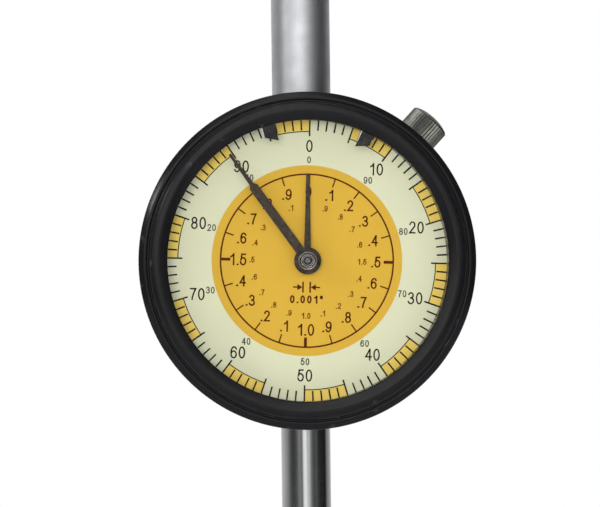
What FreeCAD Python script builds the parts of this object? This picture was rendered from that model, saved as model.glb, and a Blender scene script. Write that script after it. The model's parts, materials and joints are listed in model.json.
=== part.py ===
"""Long-travel dial indicator with a revolution-counting hand, a turning bezel and limit markers.

Frame: millimetres, X to the right of the dial, Z up, the dial faces -Y.  The spindle runs on the Z
axis.  The origin is at mid-length of the mounting stem.  Dial parts turn about lines parallel to Y;
their places are (x, z) from the dial centre.  At rest the spindle is fully out.
"""
import FreeCAD, Part
import math
import os

Vector = FreeCAD.Vector
Y_AXIS = Vector(0, 1, 0)
Z_AXIS = Vector(0, 0, 1)

# ---- Clearances -------------------------------------------------------------------------------
RUN_GAP = 0.05            # radial gap of a shaft in its bearing
SEAT_GAP = 0.05           # radial gap of a piece dropped into its seat
SLIDE_GAP = 0.10          # gap between flat faces that pass each other
OVERCUT = 1.0             # how far a cutting shape runs past the face it opens

# ---- Mounting stem, travel and gear train -----------------------------------------------------
STEM_RADIUS = 9.525 / 2
STEM_LENGTH = 25.0
STEM_CHAMFER = 0.5
STEM_PLUG_RADIUS = 4.2    # the stem's end that is fixed in the case
TRAVEL = 51.5
HAND_LIFT_LENGTH = 2.54   # spindle travel for one turn of the long hand
RACK_LEAVES = 12
WHEEL_TEETH = 72
CENTRE_LEAVES = 12
COUNT_LEAVES = 12
COUNT_TEETH = 40
PRESSURE_ANGLE = 20.0
TOOTH_SHARE = 0.44        # tooth thickness as a share of the pitch, the rest is backlash and gap
ADDENDUM = 0.70           # in modules
DEDENDUM = 1.05
TAKEUP_ANGLE = 127.6      # clock angle of the take-up arbor about the dial centre

# ---- Case -------------------------------------------------------------------------------------
FLANGE_OVERHANG = 2.55    # bezel flange beyond the case barrel
CASE_WALL = 2.2
CASE_FRONT = -9.5
CASE_BACK = 8.0
FLOOR_FRONT = -9.0
FLOOR_THICK = 1.2
CASE_BOSS_RADIUS = 7.4
CASE_BOSS_HEIGHT = 1.3
GASKET_THICK = 0.3
GASKET_WIDTH = 1.6
COVER_THICK = 2.0
COVER_CHAMFER = 0.6
COVER_SCREW_INSET = 1.7   # screw centres inside the case wall
COVER_SCREW_ANGLE = 45.0
COVER_SCREWS = 4
COVER_SCREW_RADIUS = 1.0
COVER_HEAD_RADIUS = 1.9
COVER_HEAD_HEIGHT = 1.1
SCREW_BOSS_RADIUS = 2.3
SCREW_BITE = 4.0          # length of a cover screw in its boss
LUG_THICK = 6.35
LUG_HOLE_RADIUS = 6.35 / 2
LUG_RADIUS = 6.35
LUG_REACH = 7.8           # lug hole axis behind the back cover

# ---- Spindle ----------------------------------------------------------------------------------
SPINDLE_RADIUS = 2.38
SPINDLE_NOSE = 1.5        # spindle still out of the stem when it is fully in
RACK_FLAT_DEPTH = 0.505
RACK_OVERRUN = 2.5
BUSH_RADIUS = 3.4
BUSH_LENGTH = 8.0
POINT_LENGTH = 7.0
POINT_NECK_RADIUS = 0.75
POINT_SHANK_RADIUS = 1.2
POINT_SHANK_LENGTH = 4.0
BALL_RADIUS = 1.2
GUIDE_PIN_RADIUS = 0.75
GUIDE_PIN_END = 5.45
GUIDE_PIN_MARGIN = 0.35   # from the pin to the case wall at the end of the travel

# ---- Upper tube and return spring -------------------------------------------------------------
TUBE_RADIUS = 5.65
TUBE_BORE = 4.40
UPPER_BUSH_LENGTH = 7.8
SPINDLE_TOP_RISE = 2.0    # full-diameter spindle above the upper bush at rest
SPRING_ROD_RADIUS = 1.5
SPRING_ROD_LENGTH = 11.0
SPRING_SEAT_RADIUS = 3.9
SPRING_SEAT_THICK = 1.2
SPRING_CLOSED = 13.0      # room for the spring at full travel
SPRING_RADIUS = 3.2
SPRING_WIRE = 0.33
SPRING_COILS = 14
CAP_THICK = 2.4
CAP_PLUG_LENGTH = 3.0
CAP_CHAMFER = 0.8
CAP_SLOT_WIDTH = 1.2
CAP_SLOT_DEPTH = 0.9

# ---- Movement, front to back along Y ----------------------------------------------------------
ARBOR_RADIUS = 0.6
PIVOT_RADIUS = 0.3
PIVOT_LENGTH = 0.6
JEWEL_RADIUS = 1.0
JEWEL_THICK = 0.9
PLATE_FRONT = -3.6
PLATE_THICK = 1.0
PLATE_INSET = 6.4         # movement plate's edge inside the case wall
PLATE_EAR_RADIUS = 2.6
PILLAR_INSET = 5.5        # pillar centres inside the case wall
PILLAR_ANGLES = (75.0, 215.0, 300.0)
PILLAR_RADIUS = 1.7
WHEEL_FRONT = -5.1
WHEEL_THICK = 0.6
HUB_RADIUS = 1.7
HUB_THICK = 0.5
WHEEL_HOLES = 5
WHEEL_HOLE_RADIUS = 2.0
WHEEL_HOLE_CIRCLE = 5.4
PINION_MARGIN = 0.3       # centre pinion is wider than the wheels by this much each side
RACK_PINION_HALF = 1.9
COUNT_FRONT = -7.4
COUNT_THICK = 0.5
COUNT_PINION_EXTRA = 0.1
BRIDGE_FRONT = 3.6
BRIDGE_THICK = 1.2
BRIDGE_POST_INSETS = (9.05, 6.45)   # post centres inside the case wall
BRIDGE_POST_ANGLES = (-77.1, -41.1)
BRIDGE_END_RADIUS = 1.5
BRIDGE_FOOT_RADIUS = 2.0
POST_RADIUS = 1.5
SMALL_SCREW_RADIUS = 0.6
SMALL_HEAD_RADIUS = 1.2
SMALL_HEAD_HEIGHT = 0.8
SMALL_SCREW_LENGTH = 3.0
RAIL_FRONT = 3.0
RAIL_BACK = 6.5
RAIL_HALF_WIDTH = 2.2
RAIL_FLOOR = 0.8
RAIL_FOOT_HALF_WIDTH = 8.0
RAIL_FOOT_HALF_HEIGHT = 2.0
RAIL_BOSS_X = 6.0
RAIL_BOSS_INSET = 3.5     # boss centres inside the case wall, along the spindle
RAIL_BOSS_RADIUS = 2.0
HAIRSPRING_COLLET_RADIUS = 1.1
HAIRSPRING_FRONT = -6.5
HAIRSPRING_HEIGHT = 0.8
HAIRSPRING_START = 1.3
HAIRSPRING_PITCH = 0.75
HAIRSPRING_TURNS = 4.5
HAIRSPRING_BAND = 0.12
STUD_RADIUS = 0.6

# ---- Centre stack and hands -------------------------------------------------------------------
CENTRE_ARBOR_RADIUS = 0.5
PIPE_RADIUS = 1.0
BEARING_RADIUS = 2.2
BEARING_FLANGE_RADIUS = 3.4
BEARING_FLANGE_THICK = 0.35
COUNT_HAND_FRONT = -12.1
COUNT_HAND_THICK = 0.25
COUNT_HUB_RADIUS = 2.2
COUNT_HUB_THICK = 0.8
COUNT_HAND_SHORT = 10.0   # count hand's tip inside the bezel opening
COUNT_HAND_ROOT = 1.30
COUNT_HAND_TIP = 0.65
COUNT_HAND_ANGLE = 1.1
LONG_HAND_FRONT = -12.95
LONG_HAND_THICK = 0.25
LONG_HUB_RADIUS = 2.55
LONG_HAND_SHORT = 1.5     # needle's tip inside the bezel opening
LONG_NEEDLE_LENGTH = 7.6
LONG_HAND_WIDTH = 1.75
LONG_NEEDLE_ROOT = 0.85
LONG_NEEDLE_TIP = 0.50
LONG_HAND_ANGLE = -35.5
BOSS_RADIUS = 1.9
BOSS_FRONT = -13.6
BOSS_RECESS_RADIUS = 1.05
BOSS_RECESS_DEPTH = 0.35

# ---- Bezel, crystal and dial ------------------------------------------------------------------
BEZEL_RADIUS = 31.75
BEZEL_BACK = -6.0
BEZEL_WIDTH = 5.45        # from the opening to the flange's rim
LIP_FRONT = -16.6
CREST_FRONT = -17.3
CREST_INSET = 3.25        # crest, ring edge, groove and flange root inside the flange's rim
RING_INSET = 1.95
GROOVE_INSET = 1.70
GROOVE_FLOOR = -15.0
FLANGE_INSET = 1.40
FLANGE_FRONT = -15.5
FLANGE_BACK = -11.4
FLANGE_CHAMFER = 0.45
KNURL_DEPTH = 0.16
KNURLS = 225
RING_FOOT_RISE = 0.28     # ring's outer edge in front of the groove floor
CREST_RISE_DROP = 0.18    # middle of each curve behind the crest
CREST_FALL_DROP = 0.45
CREST_FALL_SHIFT = 0.25
SKIRT_WALL = 1.15
CRYSTAL_MARGIN = 1.25     # crystal, spacer and dial edges outside the bezel opening
CRYSTAL_FRONT = -15.6
CRYSTAL_THICK = 1.4
SPACER_MARGIN = 0.2
DIAL_MARGIN = 2.0
DIAL_FRONT = -10.6
DIAL_THICK = 0.6
DIAL_HOLE = 1.6
RETAINER_THICK = 0.35
SNAP_FRONT = -8.2
SNAP_THICK = 0.6
SNAP_BITE = 0.2           # depth of the snap ring in the case's groove
SNAP_HOLD = 0.45          # and in the bezel's
SNAP_GAP_ANGLE = 14.0       # angle of the gap in the snap ring

# ---- Limit markers ----------------------------------------------------------------------------
MARKER_ANGLES = {"limit_marker_left": -16.0, "limit_marker_right": 25.9}
MARKER_WIDTH = 2.4
MARKER_THICK = 0.35
MARKER_LIFT = 0.2         # above the crystal
MARKER_REACH = 3.2        # pointed tip inside the bezel opening
MARKER_SLANT = 1.2
MARKER_FOOT_DEPTH = 0.75
MARKER_FOOT_HALF_ANGLE = 3.0

# ---- Bezel clamp ------------------------------------------------------------------------------
CLAMP_ANGLE = 43.0
CLAMP_Y = -1.0
CLAMP_TRAVEL = 0.45
CLAMP_STRIP_THICK = 0.9
CLAMP_STRIP_BACK = 2.6
CLAMP_LIP_FRONT = -9.4
CLAMP_HALF_ANGLE = 8.4
CLAMP_SCREW_RADIUS = 1.25
CLAMP_SCREW_BITE = 2.9
CLAMP_BOSS_RADIUS = 3.0
CLAMP_BOSS_DEPTH = 2.0
KNOB_RADIUS = 3.9
KNOB_LENGTH = 5.0
KNOB_DOME_LENGTH = 1.15   # domed end, in two steps
KNOB_DOME_STEP = 0.40
KNOB_DOME_SHOULDER = 0.85 # radius taken off at the step and at the flat end
KNOB_DOME_FLAT = 2.0
KNOB_NECK_RADIUS = 2.4
KNOB_NECK_LENGTH = 0.6
KNOB_CHAMFER = 0.55
KNOB_FLUTES = 40
KNOB_FLUTE_DEPTH = 0.22

# ---- Values worked out from the above ---------------------------------------------------------
CASE_RADIUS = BEZEL_RADIUS - FLANGE_OVERHANG
CASE_INNER = CASE_RADIUS - CASE_WALL
COVER_SCREW_CIRCLE = CASE_INNER - COVER_SCREW_INSET
PLATE_RADIUS = CASE_INNER - PLATE_INSET
PILLAR_CIRCLE = CASE_INNER - PILLAR_INSET
RAIL_BOSS_Z = CASE_INNER - RAIL_BOSS_INSET
CASE_END = CASE_RADIUS + CASE_BOSS_HEIGHT
STEM_SEAT = STEM_PLUG_RADIUS + SEAT_GAP
TUBE_SEAT = TUBE_RADIUS + SEAT_GAP
DIAL_Z = STEM_LENGTH / 2 + CASE_END
FLOOR_BACK = FLOOR_FRONT + FLOOR_THICK
COVER_FRONT = CASE_BACK + GASKET_THICK
COVER_BACK = COVER_FRONT + COVER_THICK
LUG_Y = COVER_BACK + LUG_REACH

RACK_PITCH = HAND_LIFT_LENGTH * WHEEL_TEETH / CENTRE_LEAVES / RACK_LEAVES
RACK_MODULE = RACK_PITCH / math.pi
CENTRE_DISTANCE = RACK_MODULE * (COUNT_LEAVES + COUNT_TEETH) / 2
WHEEL_MODULE = 2 * CENTRE_DISTANCE / (WHEEL_TEETH + CENTRE_LEAVES)
RACK_TIP_X = RACK_FLAT_DEPTH - SPINDLE_RADIUS
RACK_LINE_X = RACK_TIP_X + ADDENDUM * RACK_MODULE
FIRST_X = RACK_LINE_X - RACK_LEAVES * RACK_MODULE / 2
FIRST_PLACE = (FIRST_X, math.sqrt(CENTRE_DISTANCE ** 2 - FIRST_X ** 2))
CENTRE_PLACE = (0.0, 0.0)
WHEEL_BACK = WHEEL_FRONT + WHEEL_THICK
COUNT_BACK = COUNT_FRONT + COUNT_THICK
PLATE_BACK = PLATE_FRONT + PLATE_THICK
BRIDGE_BACK = BRIDGE_FRONT + BRIDGE_THICK
PIPE_BORE = CENTRE_ARBOR_RADIUS + RUN_GAP
BEARING_BORE = PIPE_RADIUS + RUN_GAP
COUNT_HAND_BACK = COUNT_HAND_FRONT + COUNT_HUB_THICK
LONG_HAND_BACK = LONG_HAND_FRONT + LONG_HAND_THICK

BUSH_BORE = SPINDLE_RADIUS + RUN_GAP
UPPER_BUSH_TOP = DIAL_Z + CASE_INNER + UPPER_BUSH_LENGTH
SPINDLE_BOTTOM = -STEM_LENGTH / 2 - TRAVEL - SPINDLE_NOSE
SPINDLE_TOP = UPPER_BUSH_TOP + SPINDLE_TOP_RISE
SPRING_SEAT_TOP = SPINDLE_TOP + SPRING_SEAT_THICK
CAP_UNDERSIDE = SPRING_SEAT_TOP + TRAVEL + SPRING_CLOSED
TUBE_TOP = CAP_UNDERSIDE + CAP_PLUG_LENGTH
GUIDE_PIN_Z = DIAL_Z - CASE_INNER + GUIDE_PIN_MARGIN + GUIDE_PIN_RADIUS

BEZEL_OPENING = BEZEL_RADIUS - BEZEL_WIDTH
CREST_RADIUS = BEZEL_RADIUS - CREST_INSET
RING_OUTER = BEZEL_RADIUS - RING_INSET
GROOVE_RADIUS = BEZEL_RADIUS - GROOVE_INSET
FLANGE_ROOT = BEZEL_RADIUS - FLANGE_INSET
CRYSTAL_RADIUS = BEZEL_OPENING + CRYSTAL_MARGIN
SPACER_INNER = BEZEL_OPENING + SPACER_MARGIN
DIAL_RADIUS = BEZEL_OPENING + DIAL_MARGIN
COUNT_HAND_LENGTH = BEZEL_OPENING - COUNT_HAND_SHORT
LONG_HAND_LENGTH = BEZEL_OPENING - LONG_HAND_SHORT
LONG_HAND_BROAD = LONG_HAND_LENGTH - LONG_NEEDLE_LENGTH
CRYSTAL_BACK = CRYSTAL_FRONT + CRYSTAL_THICK
DIAL_BACK = DIAL_FRONT + DIAL_THICK
RETAINER_BACK = DIAL_BACK + RETAINER_THICK
GLASS_SEAT = CRYSTAL_RADIUS + SEAT_GAP
DIAL_SEAT = DIAL_RADIUS + SEAT_GAP
SKIRT_BORE = CASE_RADIUS + RUN_GAP
SKIRT_RADIUS = SKIRT_BORE + SKIRT_WALL
SNAP_INNER = CASE_RADIUS - SNAP_BITE
SNAP_OUTER = SKIRT_BORE + SNAP_HOLD
MARKER_BACK = CRYSTAL_FRONT - MARKER_LIFT
MARKER_FRONT = MARKER_BACK - MARKER_THICK
MARKER_FOOT_RADIUS = BEZEL_OPENING + MARKER_FOOT_DEPTH
MARKER_TIP = BEZEL_OPENING - MARKER_REACH
MARKER_GROOVE_RADIUS = MARKER_FOOT_RADIUS + RUN_GAP
KNURL_ROOT = BEZEL_RADIUS - KNURL_DEPTH
CLAMP_REAR_INNER = CASE_RADIUS + RUN_GAP + CLAMP_TRAVEL
CLAMP_LIP_INNER = SKIRT_RADIUS + RUN_GAP + CLAMP_TRAVEL
CLAMP_REAR_OUTER = CLAMP_REAR_INNER + CLAMP_STRIP_THICK
CLAMP_LIP_OUTER = CLAMP_LIP_INNER + CLAMP_STRIP_THICK
CLAMP_LIP_BACK = BEZEL_BACK + SLIDE_GAP + CLAMP_STRIP_THICK
KNOB_START = CLAMP_REAR_OUTER + KNOB_NECK_LENGTH


# ---- Drawing helpers --------------------------------------------------------------------------
def clock(radius, degrees):
    """(x, z) at a clock angle: clockwise from the top, as the dial is read."""
    turn = math.radians(degrees)
    return radius * math.sin(turn), radius * math.cos(turn)


def dial_point(x, y, z):
    """Point whose x and z are counted from the dial centre."""
    return Vector(x, y, DIAL_Z + z)


def closed_wire(points, arcs=()):
    """Wire through the points in order; an edge whose start index is in arcs bends through arcs[index]."""
    edges = []
    for index, start in enumerate(points):
        end = points[(index + 1) % len(points)]
        if index in arcs:
            edges.append(Part.Arc(start, arcs[index], end).toShape())
        else:
            edges.append(Part.LineSegment(start, end).toShape())
    return Part.Wire(edges)


def revolved(profile, origin, axis, radial, arcs=()):
    """Turned solid: profile is (radius, height) along the axis through origin, drawn on the radial side."""
    def place(point):
        return origin + radial * point[0] + axis * point[1]
    bends = {index: place(arcs[index]) for index in arcs}
    face = Part.Face(closed_wire([place(point) for point in profile], bends))
    solid = face.revolve(origin, axis, 360)
    if solid.Volume < 0:
        solid.reverse()
    return solid


def turned(profile, place=CENTRE_PLACE, arcs=()):
    """Piece turned about a line parallel to Y; profile is (radius, y)."""
    return revolved(profile, dial_point(place[0], 0, place[1]), Y_AXIS, Vector(1, 0, 0), arcs)


def turned_upright(profile, arcs=()):
    """Piece turned about the spindle axis; profile is (radius, z)."""
    return revolved(profile, Vector(0, 0, 0), Z_AXIS, Vector(1, 0, 0), arcs)


def disc(radius, front, back, place=CENTRE_PLACE):
    """Cylinder from y = front to y = back."""
    return Part.makeCylinder(radius, back - front, dial_point(place[0], front, place[1]), Y_AXIS)


def ring(outer, inner, front, back, place=CENTRE_PLACE):
    """Flat ring from y = front to y = back."""
    return turned([(inner, front), (outer, front), (outer, back), (inner, back)], place)


def tube(outer, inner, bottom, top):
    """Tube on the spindle axis from z = bottom to z = top."""
    return turned_upright([(inner, bottom), (outer, bottom), (outer, top), (inner, top)])


def slab(outline, front, back):
    """Flat plate: outline is (x, z) points from the dial centre."""
    face = Part.Face(closed_wire([dial_point(x, front, z) for x, z in outline]))
    return face.extrude(Vector(0, back - front, 0))


def brick(x0, x1, front, back, z0, z1):
    """Box between the given faces; z is counted from the dial centre."""
    return slab([(x0, z0), (x1, z0), (x1, z1), (x0, z1)], front, back)


def sector(outer, inner, front, back, middle, half_angle):
    """Piece of a flat ring, within half_angle of the clock angle middle."""
    far = 2 * outer
    left = clock(far, middle - half_angle)
    right = clock(far, middle + half_angle)
    return ring(outer, inner, front, back).common(slab([CENTRE_PLACE, left, right], front, back))


def hull_plate(places, radii, front, back):
    """Plate with rounded corners about each place, its sides tangent to the corner circles."""
    plate = slab(places, front, back) if len(places) > 2 else None
    for index, place in enumerate(places):
        plate = disc(radii[index], front, back, place) if plate is None else (
            plate.fuse(disc(radii[index], front, back, place)))
        following = (index + 1) % len(places)
        plate = plate.fuse(tapered_link(place, radii[index], places[following], radii[following],
                                        front, back))
    return plate.removeSplitter()


def tapered_link(start, start_radius, end, end_radius, front, back):
    """The four-sided plate between the outer tangents of two circles."""
    along_x, along_z = end[0] - start[0], end[1] - start[1]
    length = math.hypot(along_x, along_z)
    heading = math.atan2(along_z, along_x)
    lean = math.acos((start_radius - end_radius) / length)
    corners = []
    for place, radius, side in ((start, start_radius, -1), (end, end_radius, -1),
                                (end, end_radius, 1), (start, start_radius, 1)):
        turn = heading + side * lean
        corners.append((place[0] + radius * math.cos(turn), place[1] + radius * math.sin(turn)))
    return slab(corners, front, back)


def fused(first, *others):
    """One solid from touching or overlapping solids."""
    return first.fuse(list(others)).removeSplitter() if others else first


def group(solids):
    """Separate solids kept in one node."""
    return Part.makeCompound(solids)


# ---- Gear helpers -----------------------------------------------------------------------------
def direction(start, end):
    """Angle from +X towards +Z of the line from start to end, in radians."""
    return math.atan2(end[1] - start[1], end[0] - start[0])


def half_tooth_angle(radius, pitch_radius, teeth):
    """Half the angle of an involute tooth at a radius; its flank is radial below the base circle."""
    pressure = math.radians(PRESSURE_ANGLE)
    base_radius = pitch_radius * math.cos(pressure)
    lean = math.acos(min(1.0, base_radius / radius))
    involute = math.tan(pressure) - pressure - (math.tan(lean) - lean)
    return math.pi * TOOTH_SHARE / teeth + involute


def gear_points(place, module, teeth, phase):
    """Outline of a gear whose first tooth points along the angle phase."""
    pitch_radius = module * teeth / 2
    tip_radius = pitch_radius + ADDENDUM * module
    root_radius = pitch_radius - DEDENDUM * module
    base_radius = pitch_radius * math.cos(math.radians(PRESSURE_ANGLE))
    flank = [root_radius, tip_radius]
    if base_radius > root_radius:
        flank = [root_radius, base_radius, pitch_radius, tip_radius]
    points = []
    for tooth in range(teeth):
        middle = phase + 2 * math.pi * tooth / teeth
        for radius, side in [(r, -1) for r in flank] + [(r, 1) for r in reversed(flank)]:
            turn = middle + side * half_tooth_angle(radius, pitch_radius, teeth)
            points.append((place[0] + radius * math.cos(turn), place[1] + radius * math.sin(turn)))
    return points


def gear(place, module, teeth, phase, front, back):
    """Spur gear blank without a bore."""
    return slab(gear_points(place, module, teeth, phase), front, back)


def meshing_phase(driver_place, driver_teeth, driver_phase, place, teeth):
    """Phase that seats a gear's gap over the tooth that the driver has nearest the line of centres."""
    line = direction(driver_place, place)
    pitch = 2 * math.pi / driver_teeth
    ahead = (line - driver_phase) % pitch
    return line + math.pi + ahead * driver_teeth / teeth + math.pi / teeth


def wheel_outline_holes(place):
    """The round windows that lighten a wheel."""
    holes = []
    for index in range(WHEEL_HOLES):
        x, z = clock(WHEEL_HOLE_CIRCLE, 360.0 * index / WHEEL_HOLES)
        holes.append(disc(WHEEL_HOLE_RADIUS, WHEEL_FRONT, WHEEL_BACK, (place[0] + x, place[1] + z)))
    return holes


TAKEUP_PLACE = clock(CENTRE_DISTANCE, TAKEUP_ANGLE)
RACK_PINION_PHASE = 0.0
FIRST_PHASE = direction(FIRST_PLACE, CENTRE_PLACE)
CENTRE_PHASE = meshing_phase(FIRST_PLACE, WHEEL_TEETH, FIRST_PHASE, CENTRE_PLACE, CENTRE_LEAVES)
COUNT_PHASE = meshing_phase(FIRST_PLACE, COUNT_LEAVES, FIRST_PHASE, CENTRE_PLACE, COUNT_TEETH)
TAKEUP_PHASE = meshing_phase(CENTRE_PLACE, CENTRE_LEAVES, CENTRE_PHASE, TAKEUP_PLACE, WHEEL_TEETH)


# ---- Screws -----------------------------------------------------------------------------------
def small_screw(place, seat, length=SMALL_SCREW_LENGTH):
    """Cheese-head movement screw driven from the back, its head on y = seat."""
    head = turned([(0, seat - length), (SMALL_SCREW_RADIUS, seat - length),
                   (SMALL_SCREW_RADIUS, seat), (SMALL_HEAD_RADIUS, seat),
                   (SMALL_HEAD_RADIUS, seat + SMALL_HEAD_HEIGHT), (0, seat + SMALL_HEAD_HEIGHT)], place)
    return head


def small_screw_hole(place, seat, length=SMALL_SCREW_LENGTH):
    """Hole for the shank of a movement screw."""
    return disc(SMALL_SCREW_RADIUS, seat - length, seat, place)


def cover_screw_places():
    """Centres of the back cover's screws."""
    step = 360.0 / COVER_SCREWS
    return [clock(COVER_SCREW_CIRCLE, COVER_SCREW_ANGLE + step * index) for index in range(COVER_SCREWS)]


def rail_boss_places():
    """Centres of the four bosses that carry the guide rail."""
    return [(x, z) for x in (-RAIL_BOSS_X, RAIL_BOSS_X) for z in (-RAIL_BOSS_Z, RAIL_BOSS_Z)]


def bridge_post_places():
    """Centres of the posts under the rear bridge."""
    return [clock(CASE_INNER - inset, angle)
            for inset, angle in zip(BRIDGE_POST_INSETS, BRIDGE_POST_ANGLES)]


def pillar_places():
    """Centres of the movement pillars."""
    return [clock(PILLAR_CIRCLE, degrees) for degrees in PILLAR_ANGLES]


def clamp_axis(radius):
    """Point on the clamp screw's axis at a distance from the dial axis."""
    x, z = clock(radius, CLAMP_ANGLE)
    return dial_point(x, CLAMP_Y, z)


def clamp_direction():
    """Unit vector outwards along the clamp screw."""
    return (clamp_axis(1.0) - clamp_axis(0.0)).normalize()


def clamp_cylinder(radius, start, end):
    """Cylinder on the clamp screw's axis between two distances from the dial axis."""
    return Part.makeCylinder(radius, end - start, clamp_axis(start), clamp_direction())


# ---- Case and back ----------------------------------------------------------------------------
def case_body():
    """Barrel with a front floor, bosses for the stem and tube, and bosses inside for the works."""
    shell = turned([(0, FLOOR_FRONT), (CASE_INNER, FLOOR_FRONT), (CASE_INNER, CASE_FRONT),
                    (CASE_RADIUS, CASE_FRONT), (CASE_RADIUS, CASE_BACK), (CASE_INNER, CASE_BACK),
                    (CASE_INNER, FLOOR_BACK), (0, FLOOR_BACK)])
    end_bosses = tube(CASE_BOSS_RADIUS, STEM_SEAT, DIAL_Z - CASE_END, DIAL_Z + CASE_END)
    hollow = disc(CASE_INNER + CASE_WALL / 2, CASE_FRONT - OVERCUT, CASE_BACK + OVERCUT)
    bezel_room = disc(CASE_END + OVERCUT, CASE_FRONT - OVERCUT, BEZEL_BACK + SLIDE_GAP)
    added = [end_bosses.cut([hollow, bezel_room])]
    for place in rail_boss_places():
        added.append(disc(RAIL_BOSS_RADIUS, FLOOR_BACK, RAIL_BACK - RAIL_FLOOR, place))
    for place in cover_screw_places():
        added.append(disc(SCREW_BOSS_RADIUS, FLOOR_BACK, CASE_BACK, place))
    barrel = disc(CASE_RADIUS, FLOOR_BACK, CASE_BACK)
    added.append(clamp_cylinder(CLAMP_BOSS_RADIUS, CASE_INNER - CLAMP_BOSS_DEPTH,
                                CASE_INNER + CASE_WALL / 2).common(barrel))
    case = fused(shell, *added)
    removed = [
        tube(STEM_SEAT, 0, DIAL_Z - CASE_END - OVERCUT, DIAL_Z - CASE_INNER + OVERCUT),
        tube(TUBE_SEAT, 0, DIAL_Z + CASE_INNER - OVERCUT, DIAL_Z + CASE_END + OVERCUT),
        disc(BEARING_RADIUS, FLOOR_FRONT, FLOOR_BACK),
        disc(JEWEL_RADIUS, FLOOR_BACK - JEWEL_THICK, FLOOR_BACK, FIRST_PLACE),
        disc(JEWEL_RADIUS, FLOOR_BACK - JEWEL_THICK, FLOOR_BACK, TAKEUP_PLACE),
        disc(STUD_RADIUS, FLOOR_BACK - JEWEL_THICK, FLOOR_BACK, stud_place()),
        clamp_cylinder(CLAMP_SCREW_RADIUS + RUN_GAP, CASE_INNER - CLAMP_BOSS_DEPTH - OVERCUT,
                       CASE_RADIUS + OVERCUT),
        ring(CASE_RADIUS + OVERCUT, SNAP_INNER - SLIDE_GAP, SNAP_FRONT - SLIDE_GAP,
             SNAP_FRONT + SNAP_THICK + SLIDE_GAP),
    ]
    for place in cover_screw_places():
        removed.append(disc(COVER_SCREW_RADIUS, CASE_BACK - SCREW_BITE, CASE_BACK, place))
    for place in rail_boss_places():
        removed.append(small_screw_hole(place, RAIL_BACK))
    for place in pillar_places():
        removed.append(disc(SMALL_SCREW_RADIUS, FLOOR_FRONT, FLOOR_BACK, place))
    return case.cut(removed)


def back_gasket():
    """Flat ring under the back cover."""
    return ring(CASE_RADIUS - SEAT_GAP, CASE_RADIUS - GASKET_WIDTH, CASE_BACK, COVER_FRONT)


def back_cover():
    """Chamfered back with a pierced mounting lug, its hole across the spindle."""
    plate = turned([(0, COVER_FRONT), (CASE_RADIUS, COVER_FRONT),
                    (CASE_RADIUS, COVER_BACK - COVER_CHAMFER),
                    (CASE_RADIUS - COVER_CHAMFER, COVER_BACK), (0, COVER_BACK)])
    half = LUG_THICK / 2
    web = brick(-half, half, COVER_FRONT + COVER_THICK / 2, LUG_Y, -LUG_RADIUS, LUG_RADIUS)
    eye = Part.makeCylinder(LUG_RADIUS, LUG_THICK, dial_point(-half, LUG_Y, 0), Vector(1, 0, 0))
    cover = fused(plate, web, eye)
    hole = Part.makeCylinder(LUG_HOLE_RADIUS, LUG_THICK + 2 * OVERCUT, dial_point(-half - OVERCUT, LUG_Y, 0),
                             Vector(1, 0, 0))
    cover = cover.cut(hole)
    for place in cover_screw_places():
        cover = cover.cut(disc(COVER_SCREW_RADIUS, COVER_FRONT, COVER_BACK, place))
        cover = cover.cut(disc(COVER_HEAD_RADIUS + SEAT_GAP, COVER_BACK - COVER_HEAD_HEIGHT,
                               COVER_BACK, place))
    return cover


def back_cover_screws():
    """Cheese-head screws sunk in the back cover."""
    seat = COVER_BACK - COVER_HEAD_HEIGHT
    tip = CASE_BACK - SCREW_BITE
    screws = []
    for place in cover_screw_places():
        screw = turned([(0, tip), (COVER_SCREW_RADIUS, tip), (COVER_SCREW_RADIUS, seat),
                        (COVER_HEAD_RADIUS, seat), (COVER_HEAD_RADIUS, COVER_BACK),
                        (0, COVER_BACK)], place)
        slot = brick(place[0] - COVER_HEAD_RADIUS, place[0] + COVER_HEAD_RADIUS,
                     COVER_BACK - COVER_HEAD_HEIGHT / 2, COVER_BACK + OVERCUT,
                     place[1] - COVER_SCREW_RADIUS / 4, place[1] + COVER_SCREW_RADIUS / 4)
        screws.append(screw.cut(slot))
    return group(screws)


def stem():
    """Mounting stem with a relief under the case, bored for the spindle and its lower bush."""
    bottom = -STEM_LENGTH / 2
    shoulder = STEM_LENGTH / 2
    top = DIAL_Z - CASE_INNER + STEM_CHAMFER
    bore = BUSH_BORE + SLIDE_GAP
    body = turned_upright([
        (BUSH_RADIUS, bottom), (STEM_RADIUS - STEM_CHAMFER, bottom), (STEM_RADIUS, bottom + STEM_CHAMFER),
        (STEM_RADIUS, shoulder - STEM_CHAMFER), (STEM_PLUG_RADIUS, shoulder - STEM_CHAMFER),
        (STEM_PLUG_RADIUS, top), (bore, top), (bore, bottom + BUSH_LENGTH),
        (BUSH_RADIUS, bottom + BUSH_LENGTH)])
    clearance = disc(CASE_INNER, CASE_FRONT, CASE_BACK)
    return body.cut(clearance)


def stem_bush():
    """Plain bearing in the stem's end."""
    return tube(BUSH_RADIUS, BUSH_BORE, -STEM_LENGTH / 2, -STEM_LENGTH / 2 + BUSH_LENGTH)


def upper_tube():
    """Tube that covers the spindle as it rises."""
    body = tube(TUBE_RADIUS, TUBE_BORE, DIAL_Z + CASE_INNER - CASE_WALL, TUBE_TOP)
    return body.cut(disc(CASE_INNER, CASE_FRONT, CASE_BACK))


def upper_bush():
    """Plain bearing in the foot of the upper tube."""
    return tube(TUBE_BORE, BUSH_BORE, DIAL_Z + CASE_INNER, UPPER_BUSH_TOP)


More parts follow.
